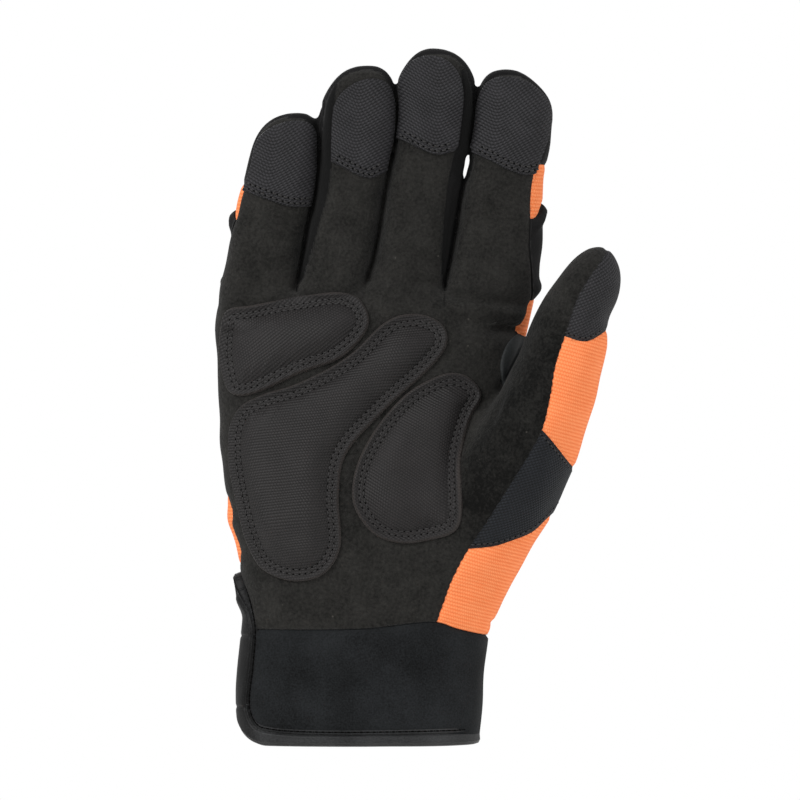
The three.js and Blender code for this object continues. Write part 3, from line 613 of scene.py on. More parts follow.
# Seams seen from the palm, as x and z in mm
THUMB_SEAM = [(90, 188), (87, 176), (81.5, 168), (76.9, 160), (72.4, 146.5), (69, 136), (67.2, 124.5),
              (64.4, 113.2), (59.5, 103.9), (51.6, 91.3), (44.4, 79.7), (38.2, 70.4), (32.5, 59.5),
              (29.6, 51.6), (27.1, 43.7), (25.5, 30)]
CAP_SEAM = [(58, 152), (66, 149.2), (72.4, 146.5), (80.5, 144.6), (88, 148.6), (98, 154)]
SADDLE_TOP = [(52, 123.6), (64.6, 112.8), (76.4, 99.2), (88, 84.5)]
SADDLE_FOOT = [(24, 68), (38.2, 70.4), (49.8, 71.8), (60.6, 76), (67, 81), (76, 91)]
CUFF_SEAM = [(-60, 41.5), (-39, 41.5), (0, 42), (27, 44.2), (34, 41.8), (46, 39), (60, 37)]
BINDING_LINE = [(70, 4.9), (-32, 4.9), (-38, 6.6), (-41, 13), (-39.8, 28), (-39, 41.5), (-41, 51.6),
                (-44.2, 62.4)]
THUMB_BACK_SEAM = 8.0  # how far back the thumb's panels reach
SEWN_STEP, SEWN_PULL = 2.6, 0.16  # the thumb seam's stitches and how far each draws the suede's edge in, mm
SLIT = dict(near=5.0, far=10.0, top=62.0, side=-30.0)  # the cuff's slit on the little finger's side
CORNER = dict(x=-34.6, z=11.0, radius=11.0)  # the cuff's rounded lower corner beside the slit
BAND_FOOT, BAND_TOP = 163.5, 192.8  # the knuckle bands
BAND_DROP = 4.6  # how much lower the bands' edges are beside the side seams, mm
print("side seams:", len(SEAM_LITTLE) + len(SEAM_FINGERS) + len(SEAM_INDEX), "points")


# %% A smooth line and the distances from it
def smooth_line(points, step=1.5, closed=False):
    """A smooth line through a few points, with a point about every step mm."""
    p = np.array(points, float)
    count = len(p)
    ends = [p[-1]] if closed else [2 * p[0] - p[1]]
    more = [p[0], p[1]] if closed else [2 * p[-1] - p[-2]]
    q = np.concatenate([ends, p, more])
    line = []
    for k in range(count if closed else count - 1):
        a, b, c, d = q[k : k + 4]
        knots = np.cumsum([0, *(np.sqrt(np.linalg.norm(v - u)) for u, v in ((a, b), (b, c), (c, d)))])
        steps = max(2, int(np.linalg.norm(c - b) / step))
        t = knots[1] + (knots[2] - knots[1]) * (np.arange(steps) / steps)[:, None]

        def between(p, q, start, end):
            """On the way from p to q, by the knots where they start and end."""
            return ((knots[end] - t) * p + (t - knots[start]) * q) / (knots[end] - knots[start])

        ab, bc, cd = between(a, b, 0, 1), between(b, c, 1, 2), between(c, d, 2, 3)
        line.append(between(between(ab, bc, 0, 2), between(bc, cd, 1, 3), 1, 2))
    if not closed:
        line.append(p[-1:])
    return np.concatenate(line)


def beside(line, at):
    """Signed distance in mm from an open line seen from the palm, above 0 on the left of its direction."""
    flat = at[:, [0, 2]]
    best, lean, side = np.full(len(at), 1e9), np.zeros(len(at)), np.zeros(len(at))
    for k, (p, q) in enumerate(zip(line[:-1], line[1:])):
        run = q - p
        length = np.linalg.norm(run)
        run = run / length
        off = flat - p
        t = off @ run
        t = np.clip(t, -1e9 if k == 0 else 0, 1e9 if k == len(line) - 2 else length)
        perp = run[0] * off[:, 1] - run[1] * off[:, 0]
        gap = np.linalg.norm(off - t[:, None] * run, axis=1)
        closer = (gap < best - 1e-6) | ((gap < best + 1e-6) & (np.abs(perp) > lean))
        best = np.where(closer, gap, best)
        lean = np.where(closer, np.abs(perp), lean)
        side = np.where(closer, np.sign(perp), side)
    return best * side


def within(outline, at):
    """Distance in mm to a closed outline seen from the palm, above 0 inside it."""
    flat = at[:, [0, 2]]
    near = ((flat > outline.min(0) - 4) & (flat < outline.max(0) + 4)).all(1)
    flat = flat[near]
    best, inside = np.full(len(flat), 1e9), np.zeros(len(flat), bool)
    for p, q in zip(outline, np.roll(outline, -1, 0)):
        run = q - p
        off = flat - p
        t = np.clip(off @ run / (run @ run), 0, 1)
        best = np.minimum(best, np.linalg.norm(off - t[:, None] * run, axis=1))
        crosses = (p[1] > flat[:, 1]) != (q[1] > flat[:, 1])
        inside ^= crosses & (flat[:, 0] < run[0] * (flat[:, 1] - p[1]) / (run[1] or 1e-9) + p[0])
    value = np.full(len(at), -99.0)
    value[near] = np.where(inside, best, -best)
    return value


thumb_line, cap_line = smooth_line(THUMB_SEAM), smooth_line(CAP_SEAM)
saddle_top_line, saddle_foot_line = smooth_line(SADDLE_TOP), smooth_line(SADDLE_FOOT)
cuff_line, binding_line = smooth_line(CUFF_SEAM), smooth_line(BINDING_LINE)
print("thumb seam:", len(thumb_line), "points")


# %% The regions of the pattern
def most(*values):
    """A point is on a panel when even the largest of these is below 0."""
    return np.maximum.reduce(values)


def side_seam(at):
    """Below 0 on the palm side, above 0 on the back."""
    x, y, z = at.T
    little = np.where(z < 148, -38, (LINES[1](z) + LINES[2](z)) / 2)
    index = np.where(z < 148, 47, (LINES[4](z) + LINES[5](z)) / 2)
    depths = [np.interp(z, s[:, 0], s[:, 1]) for s in (SEAM_LITTLE, SEAM_FINGERS, SEAM_INDEX)]
    return y - np.where(x < little, depths[0], np.where(x > index, depths[2], depths[1]))


def past_thumb_seam(at):
    """Above 0 on the thumb's back panels. The suede edge is drawn in a little at each stitch."""
    drawn = SEWN_PULL * np.sin(2 * np.pi * at[:, 2] / SEWN_STEP)
    return np.minimum(beside(thumb_line, at) + drawn, THUMB_BACK_SEAM - at[:, 1])


def in_slit(at):
    """Above 0 in the slit of the cuff."""
    x, y, z = at.T
    return np.minimum.reduce([SLIT["far"] - y, y - SLIT["near"], SLIT["top"] - z, SLIT["side"] - x])


def above_cuff(at):
    """Above 0 above the seam between cuff and glove."""
    return beside(cuff_line, at)


def past_corner(at, inset):
    """Above 0 below the cuff's lower edge and its rounded corner."""
    x, _, z = at.T
    off_x, off_z = x - CORNER["x"], z - CORNER["z"]
    around = np.hypot(off_x, off_z) - (CORNER["radius"] - inset)
    return np.where(off_z > 0, -9, np.where(off_x < 0, around, inset - z))


# The strips between the fingers: their line, how far they show at its left and right, their top between
# the fingers and their top where they show
SIDEWALLS = {
    "sidewall_little_ring": (2, 0.0, 4.4, 214.0, 238.0),
    "sidewall_ring_middle": (3, 0.0, 0.0, 230.0, 230.0),
    "sidewall_middle_index": (4, 4.9, 0.0, 228.0, 243.0),
}
# Where all three strips start, and where what shows of them starts and is widest, as heights in mm
STRIP_FOOT, STRIP_NARROW, STRIP_WIDE = 157, 166, 200
STRIP_HALF, STRIP_BACK = 6, 10  # how far they reach under the fingers and to the back, mm


def sidewall(name, at):
    """Below 0 on the strip between two fingers."""
    line, left, right, top, seen_top = SIDEWALLS[name]
    x, y, z = at.T
    across, deep = x - LINES[line](z), y - finger_middle(z)
    hidden = most(np.abs(across) - STRIP_HALF, -side_seam(at) - 0.3, deep - STRIP_BACK, z - top)
    share = np.sqrt(np.clip((z - STRIP_NARROW) / (STRIP_WIDE - STRIP_NARROW), 0, 1))
    shown = np.full(len(at), 9.0)
    if left + right > 0:
        shown = most(-across - left * share - 0.2, across - right * share - 0.2, side_seam(at), z - seen_top)
    return np.maximum(np.minimum(hidden, shown), STRIP_FOOT - z)


def any_sidewall(at):
    """Below 0 on any of the strips."""
    return np.minimum.reduce([sidewall(name, at) for name in SIDEWALLS])


def beyond_finger(finger, at):
    """Below 0 between the two lines of a finger."""
    left, right = finger["lines"]
    x, _, z = at.T
    sides = [np.full(len(at), -99.0)]
    if left != 1:
        sides.append(LINES[left](z) - x)
    if right != 5:
        sides.append(x - LINES[right](z))
    return np.maximum.reduce(sides)


print("share of the form on the palm side:", round(float((side_seam(rest) < 0).mean()), 2))

# %% [markdown]
# ## Cloths
# Each cloth is a small shader built on real sizes. Suede is all short nap: very rough, with a faint sheen,
# clouds of brush marks and a few specks of lint. A mark on a piece can darken its suede or smooth cloth:
# painted shade. The woven and knitted cloths are waves across and along the piece, so their threads follow
# the glove.

# %% Suede
def cloth_shader(tree, colour, height, strength, depth, rough, spec, sheen, sheen_rough=0.5):
    """The surface of a cloth: its colour, the relief of its threads depth mm deep, and a faint sheen."""
    bump = add(tree, "ShaderNodeBump", {"Height": height, "Strength": strength, "Distance": depth * MM})
    cloth = add(tree, "ShaderNodeBsdfPrincipled", {
        "Base Color": colour, "Roughness": rough, "Specular IOR Level": spec, "Sheen Weight": sheen,
        "Sheen Roughness": sheen_rough, "Normal": bump})
    add(tree, "ShaderNodeOutputMaterial", {"Surface": cloth})


def suede():
    """Synthetic suede, napped by brushing: a dark warm black that scatters light from a nap about 0.5 mm
    deep, drawn darker where its piece carries painted shade.
    """
    material, tree = new_material("synthetic_suede")
    place = add(tree, "ShaderNodeTexCoord").outputs["Object"]
    nap = add(tree, "ShaderNodeTexNoise", {"Vector": place, "Scale": 950, "Detail": 3, "Roughness": 0.7})
    cloud = add(tree, "ShaderNodeTexNoise", {"Vector": place, "Scale": 90, "Detail": 4, "Roughness": 0.65})
    lint = add(tree, "ShaderNodeTexVoronoi", {"Vector": place, "Scale": 120, "Randomness": 1.0})
    speck = add(tree, "ShaderNodeMapRange", {"Value": lint, "From Min": 0.055, "From Max": 0.025,
                                             "To Min": 0.0, "To Max": 0.3})
    # Both noises lie round 0.5; they are spread out so that nap and brush marks show
    # The mark read here darkens the suede: painted shade on the thumb and beside the strips.
    painted_shade = add(tree, "ShaderNodeAttribute", attribute_name="painted_shade").outputs["Fac"]
    low = add(tree, "ShaderNodeMath", {0: painted_shade, 1: -0.42, 2: -0.85}, operation="MULTIPLY_ADD")
    tone = add(tree, "ShaderNodeMath", {0: nap, 1: 1.7, 2: low}, operation="MULTIPLY_ADD")
    tones = add(tree, "ShaderNodeMath", {0: cloud, 1: 1.2, 2: tone}, operation="MULTIPLY_ADD",
                use_clamp=True)
    dark = add(tree, "ShaderNodeMixRGB", {"Fac": tones, "Color1": linear("#040403"),
                                          "Color2": linear("#2c2b29")})
    with_lint = add(tree, "ShaderNodeMixRGB", {"Fac": speck, "Color1": dark, "Color2": linear("#6a6660")})
    cloth_shader(tree, with_lint, nap, 1.0, 0.5, rough=0.97, spec=0.1, sheen=0.06, sheen_rough=0.6)
    return material


SUEDE = suede()
print("made", SUEDE.name)

# %% Woven and knitted cloths
CELL_SHARE = 0.8  # how deep the cells across a rib are beside the hollows between the ribs


def threads(tree, along, across, rib, cell):
    """Height of a weave: ribs every rib mm along, broken into cells every cell mm across."""
    row = add(tree, "ShaderNodeMath", {0: along, 1: 1 / rib}, operation="MULTIPLY")
    wave = add(tree, "ShaderNodeMath", {0: row, 1: 2 * math.pi}, operation="MULTIPLY")
    ribs = add(tree, "ShaderNodeMath", {0: wave}, operation="COSINE")
    number = add(tree, "ShaderNodeMath", {0: row}, operation="ROUND")
    shift = add(tree, "ShaderNodeMath", {0: number, 1: math.pi}, operation="MULTIPLY")
    step = add(tree, "ShaderNodeMath", {0: across, 1: 2 * math.pi / cell, 2: shift},
               operation="MULTIPLY_ADD")
    cells = add(tree, "ShaderNodeMath", {0: step}, operation="COSINE")
    both = add(tree, "ShaderNodeMath", {0: cells, 1: CELL_SHARE, 2: ribs}, operation="MULTIPLY_ADD")
    return add(tree, "ShaderNodeMapRange", {"Value": both, "From Min": -1 - CELL_SHARE,
                                            "From Max": 1 + CELL_SHARE})


def woven(name, hollow, ridge, rib, cell, rough, depth, chevron=0.0, spec=0.3, painted_rim_highlight=None):
    """A woven cloth whose ribs follow the marks along and across of its piece, both in mm."""
    material, tree = new_material(name)
    along = add(tree, "ShaderNodeAttribute", attribute_name="along").outputs["Fac"]
    across = add(tree, "ShaderNodeAttribute", attribute_name="across").outputs["Fac"]
    if chevron:  # the ribs fall away on both sides of the middle
        square = add(tree, "ShaderNodeMath", {0: across, 1: across, 2: 3.0}, operation="MULTIPLY_ADD")
        lean = add(tree, "ShaderNodeMath", {0: square}, operation="SQRT")
        along = add(tree, "ShaderNodeMath", {0: lean, 1: -chevron, 2: along}, operation="MULTIPLY_ADD")
    height = threads(tree, along, across, rib, cell)
    place = add(tree, "ShaderNodeTexCoord").outputs["Object"]
    uneven = add(tree, "ShaderNodeTexNoise", {"Vector": place, "Scale": 160, "Detail": 3})
    mix = add(tree, "ShaderNodeMath", {0: uneven, 1: 0.5, 2: -0.25}, operation="MULTIPLY_ADD")
    tone = add(tree, "ShaderNodeMath", {0: height, 1: mix}, operation="ADD", use_clamp=True)
    colour = add(tree, "ShaderNodeMixRGB", {"Fac": tone, "Color1": linear(hollow), "Color2": linear(ridge)})
    # A lighter colour along the piece's rim: painted highlight.
    if painted_rim_highlight:
        edge = add(tree, "ShaderNodeAttribute", attribute_name="edge").outputs["Fac"]
        colour = add(tree, "ShaderNodeMixRGB", {"Fac": edge, "Color1": colour, "Color2": linear(painted_rim_highlight)})
    cloth_shader(tree, colour, height, 0.9, depth, rough, spec, sheen=0.03)
    return material


# Heavy woven nylon on the fingertips: ribs 1.15 mm apart that meet in a chevron
TIP_WEAVE = woven("ballistic_nylon_chevron", "#010102", "#333235", 1.15, 1.25, 0.65, 0.4,
                  chevron=0.62, spec=0.25)
THUMB_WEAVE = woven("ballistic_nylon", "#030405", "#22252a", 1.15, 1.25, 0.7, 0.32, chevron=0.5, spec=0.2)
# Fine woven mesh over the pads: threads 0.85 mm apart, drawn at 1.0 mm so that they show, with a lighter
# colour along the rim as a painted highlight
PAD_WEAVE = woven("fine_nylon_mesh", "#070606", "#262323", 1.0, 1.0, 0.6, 0.24, painted_rim_highlight="#332e2c")
# Bright polyester knit with ribs 1.3 mm apart across the thumb and the back
ORANGE = woven("fluorescent_orange_knit", "#f27a43", "#ff9c66", 1.3, 1.1, 0.9, 0.22, spec=0.15)
print("woven and knitted:", [m.name for m in (TIP_WEAVE, THUMB_WEAVE, PAD_WEAVE, ORANGE)])

# %% The other cloths
def smooth_cloth(name, low, high, grain, depth, rough, spec):
    """A smooth cloth: foam-backed jersey, stretch knit or thread, with a grain of so many mm."""
    material, tree = new_material(name)
    place = add(tree, "ShaderNodeTexCoord").outputs["Object"]
    fine = add(tree, "ShaderNodeTexNoise", {"Vector": place, "Scale": 1 / (grain * MM), "Detail": 2})
    cloud = add(tree, "ShaderNodeTexNoise", {"Vector": place, "Scale": 50, "Detail": 2})
    both = add(tree, "ShaderNodeMath", {0: fine, 1: cloud}, operation="ADD")
    # The mark read here darkens the cloth: painted shade on the strips and on the binding's side.
    painted_shade = add(tree, "ShaderNodeAttribute", attribute_name="painted_shade").outputs["Fac"]
    tone = add(tree, "ShaderNodeMath", {0: painted_shade, 1: -0.5, 2: both}, operation="MULTIPLY_ADD")
    share = add(tree, "ShaderNodeMapRange", {"Value": tone, "From Min": 0.6, "From Max": 1.4})
    colour = add(tree, "ShaderNodeMixRGB", {"Fac": share, "Color1": linear(low), "Color2": linear(high)})
    cloth_shader(tree, colour, fine, 0.6, depth, rough, spec, sheen=0.04)
    return material


# Stretch cloth between and behind the fingers: fine, smooth and nearly black
STRETCH = smooth_cloth("stretch_knit", "#060606", "#171617", 0.7, 0.2, 0.9, 0.2)
# Foam-backed neoprene with a brushed jersey face
NEOPRENE = smooth_cloth("neoprene_jersey", "#030404", "#242628", 0.6, 0.12, 0.95, 0.15)
# Folded binding tape: a smooth satin with threads too fine to draw one by one
TAPE = smooth_cloth("binding_tape", "#070708", "#3a3b3c", 0.5, 0.06, 0.55, 0.2)
# Thin smooth tape that faces the fold beside the thumb
FACING = smooth_cloth("facing_tape", "#0d0f0f", "#292c2d", 0.6, 0.12, 0.7, 0.3)
# Bonded polyester thread, and near-black for the needle holes and the binding's sunk stitches: painted shade
# in the holes, and on the binding dark thread drawn as dark as the shade of its groove
THREAD = smooth_cloth("polyester_thread", "#121111", "#2e2c2c", 0.5, 0.1, 0.55, 0.4)
HOLE_SHADE = smooth_cloth("needle_hole_shade", "#040404", "#060606", 0.5, 0.05, 1.0, 0.0)
print("materials:", [m.name for m in bpy.data.materials])

# %% [markdown]
# ## Panels
# Palm, finger fronts and thumb front are one piece of suede here, as on the real glove. The other panels
# follow: strips between the fingers, black tips, orange backs and padded bands over the knuckles.

# %% Marks for the weaves
def up(at):
    """Along the hand: the height."""
    return at[:, 2]


def around(edges):
    """The way round a limb in mm: its angle times its mean radius."""
    def measure(at):
        left, right, front, back = (edge(at[:, 2]) for edge in edges)
        x = (at[:, 0] - (left + right) / 2) / (right - left)
        y = (at[:, 1] - (front + back) / 2) / (back - front)
        return np.arctan2(x, y) * (right - left + back - front) / 4
    return measure


def spread(at):
    """Across the hand and round its side: x on the flat, y on the sides."""
    return at[:, 0] + np.tanh(at[:, 0] / 14) * at[:, 1]


hand_marks = {"along": up, "across": spread}
thumb_marks = {"along": lambda at: at[:, 2] + 0.28 * at[:, 0], "across": lambda at: at[:, 0] + at[:, 1]}
print("marks that the weaves follow:", list(hand_marks))

# %% Suede palm
WALL = 1.8  # suede or knit with its lining, mm
palm_skin = keep(form, lambda at: most(side_seam(at), past_thumb_seam(at), -above_cuff(at)))
palm_skin = keep(palm_skin, lambda at: most(-any_sidewall(at), in_slit(at)))


def painted_suede_shade(at):
    """Painted shade on the suede: darker over the front of the thumb, and beside the strips where the
    fingers round off into their creases.
    """
    thumb = near_step(-at[:, 1], 20, 27) * near_step(at[:, 2], 60, 90) * (1 - near_step(at[:, 2], 140, 168))
    return thumb + 0.8 * (1 - near_step(from_lines(at), 1, 6.5)) * near_step(at[:, 2], 163, 178)


# The palm carries painted shade: darker on the thumb and beside the strips between the fingers.
palm = panel("palm", palm_skin, SUEDE, WALL, marks={"painted_shade": painted_suede_shade})
sewn(palm, "suede", "palm_panel", "thumb_front", *(f"finger_front_{name}" for name in FINGERS))

# %% Edges and padding of the knuckle bands
INDEX_RISE, INDEX_FALL = 1.8, 1.4  # how much further up and down they reach on the index finger, mm
ROLL, ROLL_IN, ROLL_WIDE = 1.2, 3.2, 2.2  # a rolled edge: its height, its place inside the edge, its width
BAND_RIM = 2.2  # over how many mm the padding rises from its seams


def on_index(at):
    """0 left of the index finger and 1 at its outer side, where the bands sit differently."""
    return near_step(at[:, 0], 48, 60)


def band_drop(at):
    """How far the bands' edges drop towards the side seams, most on the index finger's side."""
    share = 1.0 * (at[:, 0] > 55) + 0.7 * (at[:, 0] < -38)
    return BAND_DROP * share * (1 - near_step(side_seam(at), 0, 9))


def under_top(at):
    """How far below the bands' upper edge a point lies, in mm."""
    return BAND_TOP + INDEX_RISE * on_index(at) - 1.25 * band_drop(at) - at[:, 2]


def over_foot(at):
    """How far above the bands' lower edge a point lies, in mm."""
    return at[:, 2] - (BAND_FOOT - (INDEX_FALL + 0.5 * band_drop(at)) * on_index(at))


def band_lift(at):
    """A padded band with rolled upper and lower edges, flat towards the side seam."""
    d = np.minimum(over_foot(at), under_top(at))
    upper = near_step(at[:, 2], 175, 182)
    rolled = (ROLL + 0.2 * upper) * np.exp(-(((d - ROLL_IN + 0.5 * upper) / ROLL_WIDE) ** 2))
    beside_seam = near_step(side_seam(at), 0.3, 6)
    soft = np.sqrt(1 - (1 - np.clip(d / BAND_RIM, 0, 1)) ** 2)
    return (0.1 + 0.7 * beside_seam + rolled * near_step(side_seam(at), -0.5, 3)) * soft


print("knuckle bands:", round(BAND_TOP - BAND_FOOT, 1), "mm high")

# %% Back of the hand and the fingers
BAND_RINGS = (0.25, 0.7, 1.4)  # where points are added beside the bands' edges, mm
back_skin = keep(form, lambda at: most(-side_seam(at), -above_cuff(at)))
back_skin = keep(back_skin, lambda at: most(-any_sidewall(at), in_slit(at)))
hand_back_skin = keep(back_skin, over_foot)
sewn(panel("back_of_hand", hand_back_skin, ORANGE, WALL, marks=hand_marks), "orange_knit", "hand_back")
for name, finger in FINGERS.items():
    own = keep(back_skin, lambda at: beyond_finger(finger, at))
    tip = keep(own, lambda at: finger["orange"] - at[:, 2])
    sewn(panel(f"fingertip_back_{name}", tip, STRETCH, WALL), "stretch", f"tip_back_{name}")
    orange = keep(own, lambda at: most(under_top(at), at[:, 2] - finger["orange"]))
    marks = {"along": up, "across": around(finger_edges(finger))}
    sewn(panel(f"finger_back_{name}_knit", orange, ORANGE, WALL, marks=marks), "orange_knit",
         f"finger_back_{name}")
    band = keep(own, lambda at: most(-over_foot(at), -under_top(at)))
    for level in BAND_RINGS:
        band = ringed(ringed(band, over_foot, [level]), under_top, [level])
    band_piece = panel(f"knuckle_pad_{name}", band, STRETCH, WALL, outward=band_lift, tuck=0)
    sewn(band_piece, "stretch", f"knuckle_band_{name}")

# %% Strips between the fingers
STRIP_SHADE = 0.7  # painted shade: the strips lie deep between the fingers and are drawn darker than the tips
shaded = {"painted_shade": lambda at: np.full(len(at), STRIP_SHADE)}
for name in SIDEWALLS:
    strip = keep(form, lambda at: sidewall(name, at))
    piece = panel(f"strip_{name[9:]}", strip, STRETCH, WALL, marks=shaded)
    sewn(piece, "stretch", name)

# %% Thumb
thumb_skin = keep(form, lambda at: most(side_seam(at), -past_thumb_seam(at), -above_cuff(at)))
THUMB_PANELS = [
    ("thumb_tip_cap", "thumb_cap", TIP_WEAVE, "textured", lambda at: -beside(cap_line, at)),
    ("thumb_knit", "thumb_back", ORANGE, "orange_knit",
     lambda at: most(beside(cap_line, at), -beside(saddle_top_line, at))),
    ("thumb_saddle_patch", "thumb_saddle", THUMB_WEAVE, "textured",
     lambda at: most(beside(saddle_top_line, at), -beside(saddle_foot_line, at))),
    ("thumb_root_knit", "thumb_root", ORANGE, "orange_knit", lambda at: beside(saddle_foot_line, at)),
]
for name, node_name, cloth, slot, seam in THUMB_PANELS:
    sewn(panel(name, keep(thumb_skin, seam), cloth, WALL, marks=thumb_marks), slot, node_name)

# %% [markdown]
# ## Patches and pads
# A textured patch is sewn over each fingertip, and three gel pads on the palm. Both start as a piece of the
# palm's own skin, cut along an outline and lifted off it: little at the rim, then a flat sewn edge with two
# rows of stitches pulled in, and for the pads a crown over the gel.

# %% The outline of a fingertip patch
# Margins beside and above each patch, its lower edge at the left, its lowest place and the right, and how
# far the chevron of its weave lies beside the finger's middle, in mm
PATCHES = {
    "little": (1.2, 0.6, 3.2, 199.2, 193.4, 193.6, -4.0), "ring": (5, 1.2, 5.4, 209.6, 203.6, 206.5, 0.0),
    "middle": (0.6, 4.7, 3, 218.3, 212, 213.2, 1.0), "index": (0.4, 0.6, 2.8, 213, 204.8, 206, -6.0),
}


def patch_outline(finger, patch):
    """The closed outline of a fingertip patch, and its lower edge."""
    left, right = finger_edges(finger)[:2]
    side_left, side_right, top, foot_left, foot_low, foot_right, _ = patch
    shoulder = finger["tip"] - finger["dome"]
    turn = np.linspace(0, np.pi, 25)
    z = shoulder + (finger["dome"] - top) * np.sin(turn) ** DOME
    at = np.minimum(z, finger["tip"])
    middle = (left(at) + side_left + right(at) - side_right) / 2
    half = (right(at) - side_right - left(at) - side_left) / 2
    shift = finger["lean"] * np.sin(turn) ** 2
    arch = np.stack([middle + shift + half * np.sign(np.cos(turn)) * np.abs(np.cos(turn)) ** DOME, z], 1)
    z = np.linspace(foot_right, shoulder, 14)[:-1]
    right_side = np.stack([right(z) - side_right, z], 1)
    z = np.linspace(shoulder, foot_left, 14)[1:]
    left_side = np.stack([left(z) + side_left, z], 1)
    low = (left_side[-1][0] * 0.3 + right_side[0][0] * 0.7, foot_low)
    foot = smooth_line([left_side[-1], low, right_side[0]], 1.0)
    return np.concatenate([right_side, arch, left_side[:-1], foot[:-1]]), foot


print("patches for the fingertips:", list(PATCHES))

# %% Fingertip patches
PATCH_THICK, PATCH_HEM = 0.95, 0.25  # a patch's thickness, and how much its folded lower edge adds, mm
PATCH_ROWS = (1.3, 3.0)  # how far above the lower edge the two stitch rows run, mm
ON_SKIN = dict(inward=-0.05, tuck=0, bulge=0.05)  # a patch lies a little off the palm, and isn't tucked in


def rounded_rim(d, thick, wide=0.8):
    """A rim that curves up from the skin to its full thickness."""
    return thick * np.sqrt(1 - (1 - np.clip(d / wide, 0, 1)) ** 2)


def groove(d, row, wide):
    """1 along a row of stitches and 0 away from it."""
    return np.exp(-(((d - row) / wide) ** 2))


def cut_out(outline, levels):
    """A fine skin within an outline, with points added along its rim."""
    skin = finer(keep(form, lambda at: most(side_seam(at), -within(outline, at))))
    return ringed(skin, lambda at: within(outline, at), levels)


patch_feet = {}
for name, finger in FINGERS.items():
    outline, foot = patch_outline(finger, PATCHES[name])
    finger_left, finger_right = (LINES[k] for k in finger["lines"])

    def patch_lift(at):
        """A folded lower edge with two stitch rows sunk into it, under a single layer of weave."""
        d = within(outline, at)
        above = np.abs(beside(foot, at))
        rows = sum(groove(above, row, 0.5) for row in PATCH_ROWS)
        hem = PATCH_HEM * np.clip((4.2 - above) / 0.8, 0, 1) * (d > 0.4)
        return rounded_rim(d, PATCH_THICK) + hem - 0.3 * rows

    def patch_across(at):
        """How far a point lies beside the chevron of the weave."""
        return at[:, 0] - (finger_left(at[:, 2]) + finger_right(at[:, 2])) / 2 - PATCHES[name][6]

    sewn(panel(f"fingertip_patch_{name}", cut_out(outline, (0.2, 0.5, 0.9)), TIP_WEAVE, outward=patch_lift,
               marks={"along": up, "across": patch_across}, **ON_SKIN), "textured", f"tip_patch_{name}")
    patch_feet[name] = foot

# %% Palm pads
# The outlines seen from the palm, as x and z in mm, and the angle of each mesh
PADS = {
    "pad_finger_roots": ([
        (-48.6, 156), (-40, 157.8), (-22.4, 160.9), (-6.9, 162.4), (0, 158.8), (2.5, 151.5), (-5.8, 140),
        (-22.4, 133.2), (-41, 125.4), (-47.2, 126.3), (-50.4, 134.5), (-51, 146)], 38),
    "pad_palm": ([
        (7.6, 151.2), (14.4, 154.3), (23.1, 154.1), (29.6, 150), (30.6, 144), (26.3, 137.1), (8.7, 120.5),
        (-5.8, 103.9), (-8.2, 90), (-7.9, 70), (-14, 61.2), (-24.5, 58.8), (-35.6, 63), (-40.8, 72),
        (-45.6, 90), (-47.8, 104), (-47.2, 114.5), (-43.6, 121.4), (-36, 125.6), (-22.4, 130),
        (-4.3, 140)], 6),
    "pad_thumb_ball": ([
        (32.1, 133.5), (38.5, 131.8), (43, 125.6), (39.3, 117.3), (35.8, 104), (35.4, 80.2), (32.5, 76.2),
        (24.2, 73.6), (14.4, 72.5), (4.6, 75.6), (-2.9, 86.2), (-2.6, 97.5), (3.2, 110.8), (15.5, 125.6),
        (24.2, 131)], -32),
}
FLANGE, CROWN = 1.3, 4.4  # a pad's thickness at its sewn edge and over its gel, mm
PAD_ROWS = (2.5, 4.2)  # how far inside the edge the two stitch rows run, mm
FLANGE_WIDE, SLOPE_WIDE = 4.7, 6.0  # how wide the flat sewn edge and the slope of the gel are, mm
pad_outlines = {}
for name, (outline_points, angle) in PADS.items():
    outline = smooth_line(outline_points, 1.2, closed=True)
    skin = cut_out(outline, (0.2, 0.55, 1.0))

    def pad_lift(at):
        """A beaded rim, a flat edge pulled in at its two stitch rows, and a crown over the gel."""
        d = np.clip(within(outline, at), 0, None)
        rows = sum(groove(d, row, 0.55) for row in PAD_ROWS)
        bead = 0.35 * groove(d, 0.9, 0.45)
        rise = (CROWN - FLANGE) * np.sin(np.pi / 2 * np.clip((d - FLANGE_WIDE) / SLOPE_WIDE, 0, 1)) ** 0.8
        return rounded_rim(d, FLANGE, 0.9) + bead - 0.4 * rows + rise

    lifts = pad_lift(skin[0][:, REST])[:, None]
    # Only the gel's crown is smoothed, so that the sewn edge stays crisp
    inner = near_step(within(outline, skin[0][:, REST]), 4.8, 6.5)[:, None]
    links = np.unique(np.sort(np.concatenate([skin[1][:, :2], skin[1][:, 1:], skin[1][:, ::2]]), 1), axis=0)
    lifts = relax(lifts, links, 120, 0.5 * inner)
    c, s = math.cos(math.radians(angle)), math.sin(math.radians(angle))
    marks = {
        "along": lambda at: at[:, 2] * c - at[:, 0] * s,
        "across": lambda at: at[:, 0] * c + at[:, 2] * s,
        # the pad's outer rim, which gets the painted highlight
        "edge": lambda at: 1 - near_step(within(outline, at), 0.3, 0.9),
    }
    piece = panel(name + "_cushion", skin, PAD_WEAVE, outward=lambda at: lifts[:, 0], marks=marks,
                  **ON_SKIN)
    sewn(piece, "textured", name)
    pad_outlines[name] = outline

